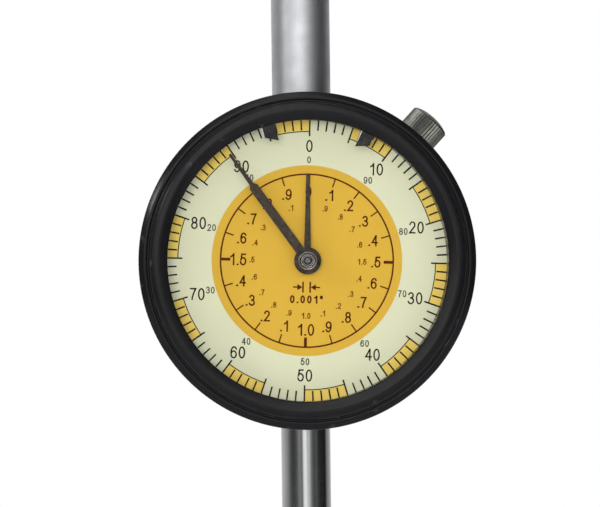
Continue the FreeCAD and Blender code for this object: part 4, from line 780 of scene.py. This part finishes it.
class INDICATOR_OT_case(Operator):
    """Case barrel with its collars for the stem and the tube, and the gasket"""
    bl_idname = "indicator.case"
    bl_label = "Case"

    BARREL_FRONT, FLOOR_FRONT, FLOOR_BACK, WALL = -9.5, -9.0, -7.8, 2.2
    ARBOR_HOLE, STEM_BORE, TUBE_CLEAR = 2.2, 4.25, 0.05
    GROOVE = (-8.3, -7.5, 0.3)
    COLLAR_ROOT, COLLAR_R, COLLAR_FLAT = 27.2, 7.4, -5.9

    def collar(self, name, turn, bore):
        """Round boss on the case wall, cut flat where the bezel passes in front of it."""
        bm = bmesh.new()
        place = Matrix.Translation((0, 0, DIAL_Z)) @ Matrix.Rotation(turn, 4, "X")
        lathe(bm, [(bore, self.COLLAR_ROOT), (self.COLLAR_R, self.COLLAR_ROOT), (self.COLLAR_R, CASE_END, 0.45),
                   (bore, CASE_END, 0.2)], 72, place, closed=True)
        bmesh.ops.bisect_plane(bm, geom=bm.verts[:] + bm.edges[:] + bm.faces[:],
                               plane_co=(0, self.COLLAR_FLAT, 0), plane_no=(0, -1, 0), clear_outer=True)
        bmesh.ops.holes_fill(bm, edges=[e for e in bm.edges if e.is_boundary], sides=0)
        fit(to_object(name, bm), "case_body", "case_enamel")

    def execute(self, context):
        inner, hole = CASE_R - self.WALL, self.ARBOR_HOLE
        low, high, deep = self.GROOVE
        barrel = spun("case_barrel", [
            (hole, self.FLOOR_FRONT), (inner, self.FLOOR_FRONT), (inner, self.BARREL_FRONT),
            (CASE_R, self.BARREL_FRONT), (CASE_R, low), (CASE_R - deep, low), (CASE_R - deep, high),
            (CASE_R, high), (CASE_R, CASE_BACK, 0.3), (inner, CASE_BACK), (inner, self.FLOOR_BACK),
            (hole, self.FLOOR_BACK)], 160, ABOUT_DIAL, True)
        stand_in(barrel, "case_body", "case_enamel")
        self.collar("stem_collar", math.pi, self.STEM_BORE)
        self.collar("tube_collar", 0.0, TUBE_R + self.TUBE_CLEAR)
        inside, outside, bulge, thick = CASE_R - 1.6, CASE_R - 0.12, CASE_R - 0.05, 0.3
        gasket = spun("cover_gasket", [
            (inside, CASE_BACK), (outside, CASE_BACK), (bulge, CASE_BACK + thick / 2),
            (outside, CASE_BACK + thick), (inside, CASE_BACK + thick)], 128, ABOUT_DIAL, True)
        stand_in(gasket, "back_gasket", "gasket")
        return {"FINISHED"}


class INDICATOR_OT_back(Operator):
    """Back cover with its mounting lug and four slotted screws"""
    bl_idname = "indicator.back"
    bl_label = "Back"

    RINGS = (28.2, 27.6, 23, 22.4, 17, 11, 5)     # they keep the shading of the flat cover even
    LUG_HALF, LUG_R, LUG_HOLE, LUG_SUNK, LUG_STEPS = 3.175, 6.35, 3.175, 0.4, 24
    SCREW_CIRCLE, HEAD_R, HEAD_DEEP, HEAD_CLEAR = 25.3, 1.9, 1.1, 0.05
    SHANK_R, SHANK_LONG, SLOT_WIDE, SLOT_DEEP = 1.0, 4, 0.5, 1.1

    def cover(self, places):
        low, bevel = back("back_gasket"), 0.6
        piece = spun("cover_plate", [
            (0, low), (CASE_R, low), (CASE_R, COVER_BACK - bevel, 0.25), (CASE_R - bevel, COVER_BACK, 0.25),
            *[(radius, COVER_BACK) for radius in self.RINGS], (0, COVER_BACK)], 160, ABOUT_DIAL)
        bm = bmesh.new()
        for place in places:
            rod(bm, self.HEAD_R + self.HEAD_CLEAR, COVER_BACK - self.HEAD_DEEP, COVER_BACK + 1, 40, place)
        stand_in(round_edges(carve(piece, bm), 0.12), "back_cover", "case_enamel")

    def lug(self):
        bm = bmesh.new()
        lug_y = back("back_cover") - self.LUG_R
        place = axes((0, 1, 0), (0, 0, 1), (1, 0, 0), (0, lug_y, DIAL_Z))
        turns = [math.pi * i / self.LUG_STEPS for i in range(self.LUG_STEPS + 1)]
        outline = [(self.LUG_R * math.sin(turn), -self.LUG_R * math.cos(turn)) for turn in turns]
        foot = COVER_BACK - self.LUG_SUNK - lug_y
        plate(bm, outline + [(foot, self.LUG_R), (foot, -self.LUG_R)], -self.LUG_HALF, self.LUG_HALF, place)
        ear = to_object("mounting_lug", bm)
        bm = bmesh.new()
        rod(bm, self.LUG_HOLE, -5, 5, 64, place)
        fit(round_edges(carve(ear, bm), 0.45, 3), "back_cover", "case_enamel")

    def screw(self, index, place):
        seat, end = COVER_BACK - self.HEAD_DEEP, CASE_BACK - self.SHANK_LONG
        piece = spun(f"cover_screw_{index + 1}", [
            (0, end), (self.SHANK_R, end), (self.SHANK_R, seat), (self.HEAD_R, seat),
            (self.HEAD_R, COVER_BACK, 0.2), (0, COVER_BACK)], 40, place)
        bm = bmesh.new()
        turn = Matrix.Rotation(math.radians(35 * index + 20), 4, "Z")
        bar(bm, 6.0, self.SLOT_WIDE, self.SLOT_DEEP, place @ turn @ Matrix.Translation((0, 0, COVER_BACK)))
        stand_in(round_edges(carve(piece, bm), 0.05), "back_cover_screws", "blued_steel")

    def execute(self, context):
        places = [ABOUT_DIAL @ Matrix.Rotation(math.radians(45 + 90 * index), 4, "Z")
                  @ Matrix.Translation((self.SCREW_CIRCLE, 0, 0)) for index in range(4)]
        self.cover(places)
        self.lug()
        for index, place in enumerate(places):
            self.screw(index, place)
        return {"FINISHED"}


class INDICATOR_OT_stem(Operator):
    """Polished mounting stem with its bronze bush"""
    bl_idname = "indicator.stem"
    bl_label = "Stem"

    RELIEF_R, BUSH_R, PASSAGE_R, TOP, BUSH_DEEP = 4.2, 3.4, 2.6, 16.5, 8

    def execute(self, context):
        shoulder, pocket = -STEM_LOW - 0.5, STEM_LOW + self.BUSH_DEEP
        sleeve = spun("stem_sleeve", [
            (self.BUSH_R, STEM_LOW), (STEM_R - 0.5, STEM_LOW, 0.12), (STEM_R, STEM_LOW + 0.5, 0.12),
            (STEM_R, shoulder, 0.1), (self.RELIEF_R, shoulder, 0.05), (self.RELIEF_R, self.TOP),
            (self.PASSAGE_R, self.TOP), (self.PASSAGE_R, pocket), (self.BUSH_R, pocket)], 96, ABOUT_STEM, True)
        stand_in(sleeve, "stem", "polished_steel")
        inner, outer, top = SPINDLE_R + 0.05, self.BUSH_R - 0.02, STEM_LOW + 7.95
        bush = spun("stem_bearing", [(inner, STEM_LOW, 0.15), (outer, STEM_LOW), (outer, top), (inner, top)],
                    64, ABOUT_STEM, True)
        stand_in(bush, "stem_bush", "bronze")
        return {"FINISHED"}


class INDICATOR_OT_tube(Operator):
    """Satin tube over the spindle and its slotted cap"""
    bl_idname = "indicator.tube"
    bl_label = "Tube"

    BORE, PLUG_LONG, CAP_BEVEL, SLOT_WIDE, SLOT_DEEP = 4.4, 3, 0.8, 1.2, 1.8

    def execute(self, context):
        bottom = corners("upper_tube")[0].z
        tube = spun("spindle_tube", [(self.BORE, bottom), (TUBE_R, bottom), (TUBE_R, TUBE_TOP, 0.12),
                                     (self.BORE, TUBE_TOP)], 112, ABOUT_STEM, True)
        stand_in(tube, "upper_tube", "satin_chrome")
        plug, bevel = self.BORE - 0.02, self.CAP_BEVEL
        cap = spun("tube_plug", [
            (0, TUBE_TOP - self.PLUG_LONG), (plug, TUBE_TOP - self.PLUG_LONG), (plug, TUBE_TOP),
            (TUBE_R, TUBE_TOP, 0.1), (TUBE_R, CAP_TOP - bevel, 0.3), (TUBE_R - bevel, CAP_TOP, 0.3),
            (0, CAP_TOP)], 96, ABOUT_STEM)
        bm = bmesh.new()
        bar(bm, 20, self.SLOT_WIDE, self.SLOT_DEEP, Matrix.Translation((0, 0, CAP_TOP)))
        stand_in(round_edges(carve(cap, bm), 0.08), "tube_cap", "satin_chrome")
        return {"FINISHED"}


class INDICATOR_OT_point(Operator):
    """Spindle with its contact point and hard ball, and the spring that returns it"""
    bl_idname = "indicator.point"
    bl_label = "Spindle and contact point"

    NECK_R, NECK_LONG, TAPER_TOP, BALL_STEPS = 0.75, 1.2, 2.2, 24

    def execute(self, context):
        low = corners("contact_point")[0].z
        ball_low, ball_high = [corner.z for corner in corners("contact_ball")]
        radius, centre = (ball_high - ball_low) / 2, (ball_high + ball_low) / 2
        shoulder = corners("spindle")[0].z
        point = spun("point_body", [
            (0, low), (self.NECK_R, low), (self.NECK_R, low + self.NECK_LONG, 0.3),
            (SPINDLE_R, shoulder - self.TAPER_TOP, 0.5), (SPINDLE_R, shoulder, 0.15), (0, shoulder)],
            64, ABOUT_STEM)
        stand_in(point, "contact_point", "polished_steel")
        stand_in(smooth_copy("spindle_rod", "spindle"), "spindle", "polished_steel")

        spring = stand_in(smooth_copy("coil_spring", "return_spring"), "return_spring", "spring_steel")
        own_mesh(spring)

        turns = [math.pi * i / self.BALL_STEPS for i in range(self.BALL_STEPS + 1)]
        ball = spun("point_ball", [(radius * math.sin(turn), centre - radius * math.cos(turn)) for turn in turns],
                    48, ABOUT_STEM)
        stand_in(ball, "contact_ball", "carbide")
        return {"FINISHED"}


class INDICATOR_OT_bezel(Operator):
    """Rounded ring, groove and knurled flange that turn with the dial"""
    bl_idname = "indicator.bezel"
    bl_label = "Bezel"

    KNURL_DEEP = 0.09

    def execute(self, context):
        crest, ring, groove = BEZEL_R - 3.25, BEZEL_R - 1.95, BEZEL_R - 1.7
        tip, skirt, bore = BEZEL_R, BEZEL_R - 1.35, CASE_R + 0.05
        seat, glass = DIAL_R + 0.05, GLASS_R + 0.05
        lip, rest, flange = BEZEL_FRONT, DIAL_BACK + 0.35, BEZEL_FRONT + 5.9
        profile = [
            (OPENING, GLASS_FRONT), (OPENING, lip + 0.72, 0.28), (OPENING + 1.1, lip + 0.22, 0.5),
            (crest, lip - 0.02, 0.7), (ring - 0.15, lip + 0.55, 0.5), (ring, lip + 1.9, 0.15),
            (groove, lip + 1.98, 0.12), (groove + 0.35, lip + 1.75, 0.2), (tip - 1, lip + 1.82, 0.12),
            (tip - 0.1, lip + 2.47, 0.12), (tip, lip + 2.8, 0.1), (tip, lip + 5.4), (tip - 0.5, flange, 0.1),
            (skirt, flange, 0.05), (skirt, BEZEL_BACK, 0.15), (bore, BEZEL_BACK), (bore, rest),
            (seat, rest), (seat, DIAL_FRONT), (glass, DIAL_FRONT), (glass, GLASS_FRONT)]
        bm = bmesh.new()
        knurls = sizes().knurls
        lathe(bm, profile, 2 * knurls, None, closed=True)
        knurl(bm, tip, knurls, self.KNURL_DEEP)
        bmesh.ops.transform(bm, matrix=ABOUT_DIAL, verts=bm.verts)
        stand_in(to_object("bezel_ring", bm), "bezel", "black_enamel")
        return {"FINISHED"}


class INDICATOR_OT_crystal(Operator):
    """Flat crystal with ground edges"""
    bl_idname = "indicator.crystal"
    bl_label = "Crystal"

    FLAT_R = GLASS_R - 0.4     # a ring just inside the rim keeps the shading of the faces flat

    def execute(self, context):
        window = spun("crystal_window", [
            (0, GLASS_FRONT), (self.FLAT_R, GLASS_FRONT), (GLASS_R, GLASS_FRONT, 0.1),
            (GLASS_R, GLASS_BACK, 0.1), (self.FLAT_R, GLASS_BACK), (0, GLASS_BACK)], 160, ABOUT_DIAL)
        stand_in(window, "crystal", "crystal")
        return {"FINISHED"}


class INDICATOR_OT_dial(Operator):
    """Dial plate with its coloured centre and bands"""
    bl_idname = "indicator.dial"
    bl_label = "Dial plate"

    CENTRE_R, CIRCLE_R, CIRCLE_HALF, HOLE_R = 18.0, 16.32, 0.15, 1.6
    BAND_IN, BAND_OUT, BAND_SWEEP = 24.35, 27.2, 18.0

    def printed(self, name, look, inner, outer, layer, sweep=360.0, count=1, steps=160):
        """A printed ring, or evenly spaced parts of one, so many ink layers up."""
        bm, ink = bmesh.new(), sizes().ink / MM
        top = -DIAL_FRONT + layer * ink
        low = top - ink * LAYER
        for index in range(count):
            turn = math.degrees(sizes().dial_turn) + (360.0 / count * index + sweep % 360)
            lathe(bm, [(inner, low), (outer, low), (outer, top), (inner, top)], steps, ON_FACE @ clockwise(turn),
                  sweep=sweep, start=90.0 - sweep, closed=True)
        fit(to_object(name, bm), "dial_plate", look)

    def execute(self, context):
        ground = spun("dial_ground", [
            (self.HOLE_R, DIAL_FRONT, 0.04), (DIAL_R, DIAL_FRONT, 0.05), (DIAL_R, DIAL_BACK, 0.05),
            (self.HOLE_R, DIAL_BACK)], 160, ABOUT_DIAL, True)
        stand_in(ground, "dial_plate", "dial_paint")
        bands = (self.BAND_SWEEP, 10, 12)
        self.printed("dial_centre", "centre_paint", self.HOLE_R + 0.1, self.CENTRE_R, 1)
        self.printed("dial_bands", "band_paint", self.BAND_IN, self.BAND_OUT, 1, *bands)
        self.printed("band_lines", "dial_ink", self.BAND_IN - 0.08, self.BAND_IN + 0.1, 2, *bands)
        self.printed("centre_circle", "brown_ink", self.CIRCLE_R - self.CIRCLE_HALF,
                     self.CIRCLE_R + self.CIRCLE_HALF, 2)
        return {"FINISHED"}


class INDICATOR_OT_outer_scale(Operator):
    """Hundred divisions of the dial's rim with both rows of numbers"""
    bl_idname = "indicator.outer_scale"
    bl_label = "Outer scale"

    OUTER_R, SHORT_R, TALL_R = 27.2, 24.6, 23.5
    NUMBER_R, NUMBER_TALL, STROKE = 21.65, 2.3, 0.27
    SMALL_R, SMALL_TALL, SMALL_STROKE = 19.05, 1.3, 0.19

    def execute(self, context):
        width, ink = sizes().tick / MM, sizes().ink / MM
        bm = bmesh.new()
        for index in range(100):
            inner = self.SHORT_R if index % 5 else self.TALL_R
            bar(bm, width, self.OUTER_R - inner, ink * LAYER,
                dial_ray((self.OUTER_R + inner) / 2, index * 3.6, 2.5))
        fit(to_object("rim_ticks", bm), "dial_plate", "dial_ink")
        bm, small = bmesh.new(), bmesh.new()
        for index in range(10):
            lettering(bm, str(10 * index), self.NUMBER_TALL, self.STROKE,
                      dial_spot(self.NUMBER_R, 36 * index, 1.5))
            lettering(small, str(100 - 10 * index if index else 0), self.SMALL_TALL, self.SMALL_STROKE,
                      dial_spot(self.SMALL_R, 36 * index, 1.5))
        fit(pen(to_object("rim_numbers", bm), self.STROKE), "dial_plate", "dial_ink")
        fit(pen(to_object("rim_small_numbers", small), self.SMALL_STROKE), "dial_plate", "grey_ink")
        return {"FINISHED"}


class INDICATOR_OT_inner_scale(Operator):
    """Twenty divisions of the dial's centre, both rows of numbers and the unit mark"""
    bl_idname = "indicator.inner_scale"
    bl_label = "Inner scale"

    CIRCLE_R, TICK_R, LONG_TICK_R, TICK, LONG_TICK = 16.3, 14.65, 14.5, 0.25, 0.55
    NUMBER_R, NUMBER_TALL, STROKE = 13.04, 2.1, 0.29
    SMALL_R, SMALL_TALL, SMALL_STROKE = 10.4, 1.12, 0.19
    IN_FULL, FULL_EXTRA = (10, 15), 0.15
    UNIT_R, UNIT_TEXT_R, UNIT_TALL, UNIT_SPACING = 5.0, 7.3, 1.5, 0.27
    ARROW = ((0.78, 0), (1.75, 0.6), (1.75, -0.6))

    def label(self, tenths):
        """Text at a division: some in full, the rest from the point on."""
        if tenths in self.IN_FULL:
            return f"{tenths / 10:.1f}"
        return f".{tenths % 10}" if tenths else "0"

    def unit_mark(self, bm, ink):
        """Two bars with arrows that close on them."""
        place = dial_spot(self.UNIT_R, 180, 2.5)
        for side in (-1, 1):
            bar(bm, 0.3, 2.05, ink * LAYER, place @ Matrix.Translation((side * 0.68, 0, 0)))
            bar(bm, 1.1, 0.25, ink * LAYER, place @ Matrix.Translation((side * 2.0, 0, 0)))
            plate(bm, [(side * x, y) for x, y in self.ARROW], -ink * LAYER / 2, ink * LAYER / 2, place)

    def execute(self, context):
        ink = sizes().ink / MM
        ticks, bm, small = bmesh.new(), bmesh.new(), bmesh.new()
        for index in range(20):
            angle, quarter = 18 * index, index % 5 == 0
            inner = self.LONG_TICK_R if quarter else self.TICK_R
            bar(ticks, self.LONG_TICK if quarter else self.TICK, self.CIRCLE_R - inner, ink * LAYER,
                dial_ray((self.CIRCLE_R + inner) / 2, angle, 2.5))
            tall = self.NUMBER_TALL + (self.FULL_EXTRA if index in self.IN_FULL else 0)
            lettering(bm, self.label(index), tall, self.STROKE, dial_spot(self.NUMBER_R, angle, 2.5))
            if index:
                lettering(small, self.label(20 - index), self.SMALL_TALL, self.SMALL_STROKE,
                          dial_spot(self.SMALL_R, angle, 2.5))
        self.unit_mark(ticks, ink)
        lettering(bm, "0.001\"", self.UNIT_TALL, self.STROKE, dial_spot(self.UNIT_TEXT_R, 180, 2.5),
                  self.UNIT_SPACING)
        fit(to_object("centre_ticks", ticks), "dial_plate", "brown_ink")
        fit(pen(to_object("centre_numbers", bm), self.STROKE), "dial_plate", "brown_ink")
        fit(pen(to_object("centre_small_numbers", small), self.SMALL_STROKE), "dial_plate", "pale_brown_ink")
        return {"FINISHED"}


class INDICATOR_OT_hands(Operator):
    """Count hand, long hand and the bright boss that holds it"""
    bl_idname = "indicator.hands"
    bl_label = "Hands"

    ROOT, THICK, EDGE = 1.6, 0.25, 0.05
    COUNT_ANGLE, COUNT_TIP, COUNT_HALF, COUNT_TIP_HALF = 1.1, 16.3, 0.65, 0.325
    LONG_ANGLE, LONG_TIP, LONG_BROAD = -35.5, 24.8, 17.2
    BROAD_HALF, NARROW_HALF, TIP_HALF = 0.875, 0.425, 0.25

    def blade(self, bm, right_side, low, degrees):
        """Adds a hand's blade from the right half of its outline."""
        left_side = [(-x, y) for x, y in reversed(right_side)]
        plate(bm, left_side[-1:] + right_side + left_side[:-1], -low - self.THICK, -low,
              ON_FACE @ clockwise(degrees), self.EDGE)

    def execute(self, context):
        count, long_low = front("count_hand"), front("long_hand")
        bm = bmesh.new()
        self.blade(bm, [(self.COUNT_HALF, self.ROOT), (self.COUNT_TIP_HALF, self.COUNT_TIP)], count,
                   self.COUNT_ANGLE)
        lathe(bm, [(1.0, count), (2.2, count, 0.1), (2.2, count + 0.8), (1.0, count + 0.8)], 64, ABOUT_DIAL,
              closed=True)
        stand_in(to_object("count_hand_blade", bm), "count_hand", "hand_finish")
        bm = bmesh.new()
        self.blade(bm, [(self.BROAD_HALF, self.ROOT), (self.BROAD_HALF, self.LONG_BROAD),
                        (self.NARROW_HALF, self.LONG_BROAD + 0.6), (self.TIP_HALF, self.LONG_TIP)], long_low,
                   self.LONG_ANGLE)
        stand_in(to_object("long_hand_blade", bm), "long_hand", "hand_finish")
        low, high = long_low - 0.03, long_low + self.THICK
        collar = spun("long_hand_collar", [(0.5, low), (2.55, low, 0.08), (2.55, high), (0.5, high)], 72,
                      ABOUT_DIAL, True)
        fit(collar, "long_hand", "black_steel")
        face = front("long_hand_boss")
        boss = spun("hand_boss", [
            (0.5, long_low), (1.93, long_low), (1.93, face + 0.45, 0.1), (1.72, face + 0.1, 0.1),
            (1.6, face, 0.06), (1.46, face + 0.08, 0.04), (1.3, face + 0.55, 0.06), (1.02, face + 0.55, 0.05),
            (0.92, face + 0.15, 0.06), (0.8, face + 0.15, 0.04), (0.7, face + 0.8, 0.04), (0.5, face + 0.8)],
            72, ABOUT_DIAL, True)
        stand_in(boss, "long_hand_boss", "bright_boss")
        return {"FINISHED"}


class INDICATOR_OT_limit_markers(Operator):
    """Two pointers that slide round the bezel over the crystal"""
    bl_idname = "indicator.limit_markers"
    bl_label = "Limit markers"

    ANGLES = {"limit_marker_left": -16.0, "limit_marker_right": 25.9}
    FOOT_SPAN, HALF, SLANT = 3, 1.2, 1.2

    def execute(self, context):
        foot_r, inner, tip_r = OPENING + 0.75, OPENING - 0.75, OPENING - 3.2
        foot = [clock(foot_r, self.FOOT_SPAN * share) for share in (-1, -0.5, 0, 0.5, 1)]
        for node, degrees in self.ANGLES.items():
            low, high = -back(node), -front(node)
            tips = (tip_r, tip_r + self.SLANT) if degrees < 0 else (tip_r + self.SLANT, tip_r)
            name, place = node.replace("limit_", ""), ON_FACE @ clockwise(degrees)
            bm = bmesh.new()
            plate(bm, [*foot, clock(inner, self.FOOT_SPAN), (self.HALF, inner), (self.HALF, tips[0]),
                       (-self.HALF, tips[1]), (-self.HALF, inner), clock(inner, -self.FOOT_SPAN)],
                  low, high, place, 0.07)
            stand_in(to_object(name + "_pointer", bm), node, "black_steel")
            # Painted highlight: a bright satin-chrome strip along each pointer's left side stands in for the
            # glint along the black tab's edge.
            bm = bmesh.new()
            middle = ((-self.HALF - 0.06), (foot_r + inner - 0.9) / 2 - 0.5, (low + high) / 2)
            bar(bm, 0.2, foot_r - inner + 0.9, high - low + 0.04, place @ Matrix.Translation(middle))
            soften(bm, 0.04)
            fit(to_object(name + "_edge", bm), node, "satin_chrome")
        return {"FINISHED"}


class INDICATOR_OT_bezel_clamp(Operator):
    """Stepped strip on the case and the knurled screw that presses it on the bezel"""
    bl_idname = "indicator.bezel_clamp"
    bl_label = "Bezel clamp"

    ANGLE, HEIGHT, REACH, WALL = 43.0, -1.0, 8.4, 0.9
    HOLE_R, SCREW_R, NECK_R = 1.35, 1.25, 2.3
    KNOB_R, KNOB_LONG, FLUTE_DEEP = 4.0, 6.1, 0.22

    def execute(self, context):
        skirt, rear, wall = BEZEL_R - 1.35 + 0.5, CASE_R + 0.5, self.WALL
        start = rear + wall + 0.6
        low, high, step = front("clamp_strip"), back("clamp_strip"), BEZEL_BACK + 0.1
        bm = bmesh.new()
        profile = [(rear, high), (rear, step), (skirt, step), (skirt, low), (skirt + wall, low),
                   (skirt + wall, step + wall), (rear + wall, step + wall), (rear + wall, high)]
        lathe(bm, profile, 24, ABOUT_DIAL, 2 * self.REACH, self.ANGLE - 90 - self.REACH, True)
        soften(bm, 0.15)
        strip = to_object("clamp_strap", bm)
        x, z = clock(1, self.ANGLE)
        outward, forward = Vector((x, 0, z)), Vector((0, -1, 0))
        place = axes(outward.cross(forward), forward, outward, (0, self.HEIGHT, DIAL_Z))
        bm = bmesh.new()
        rod(bm, self.HOLE_R, 25, start, 32, place)
        stand_in(carve(strip, bm), "clamp_strip", SLOT_OF["clamp_strip"])
        bm = bmesh.new()
        end, knob_r, flutes = start + self.KNOB_LONG, self.KNOB_R, sizes().knob_flutes
        lathe(bm, [(0, CASE_R - 2.9), (self.SCREW_R, CASE_R - 2.9), (self.SCREW_R, rear + wall + 0.05),
                   (self.NECK_R, rear + wall + 0.05), (self.NECK_R, start - 0.02), (knob_r - 0.75, start),
                   (knob_r, start + 0.6), (knob_r, end - 0.95), (knob_r - 0.3, end - 0.65),
                   (knob_r - 1.0, end - 0.35, 0.3), (knob_r - 2.0, end - 0.05, 0.4), (0, end)], 2 * flutes)
        knurl(bm, knob_r, flutes, self.FLUTE_DEEP)
        bmesh.ops.transform(bm, matrix=place, verts=bm.verts)
        stand_in(to_object("clamp_thumb_screw", bm), "clamp_knob", "nickel")
        return {"FINISHED"}


# ---- Add-on ----
OPERATORS = (
    INDICATOR_OT_stage, INDICATOR_OT_works, INDICATOR_OT_case, INDICATOR_OT_back, INDICATOR_OT_stem,
    INDICATOR_OT_tube, INDICATOR_OT_point, INDICATOR_OT_bezel, INDICATOR_OT_crystal, INDICATOR_OT_dial,
    INDICATOR_OT_outer_scale, INDICATOR_OT_inner_scale, INDICATOR_OT_hands, INDICATOR_OT_limit_markers,
    INDICATOR_OT_bezel_clamp,
)


class INDICATOR_PT_panel(Panel):
    """Sizes, colours and a button for each group of pieces"""
    bl_label = "Dial indicator"
    bl_idname = "INDICATOR_PT_panel"
    bl_space_type = "VIEW_3D"
    bl_region_type = "UI"
    bl_category = "Indicator"

    def draw(self, context):
        for settings in (sizes(), colours()):
            box = self.layout.box()
            for name in type(settings).__annotations__:
                box.prop(settings, name)
        for operator in OPERATORS:
            self.layout.operator(operator.bl_idname)


CLASSES = (IndicatorSizes, IndicatorColours, *OPERATORS, INDICATOR_PT_panel)


def register():
    for cls in CLASSES:
        bpy.utils.register_class(cls)
    bpy.types.Scene.indicator_sizes = PointerProperty(type=IndicatorSizes)
    bpy.types.Scene.indicator_colours = PointerProperty(type=IndicatorColours)


def unregister():
    del bpy.types.Scene.indicator_colours
    del bpy.types.Scene.indicator_sizes
    for cls in reversed(CLASSES):
        bpy.utils.unregister_class(cls)


def main():
    """Builds every group of pieces in order."""
    register()
    for operator in OPERATORS:
        group, name = operator.bl_idname.split(".")
        getattr(getattr(bpy.ops, group), name)()


if __name__ == "__main__":
    main()
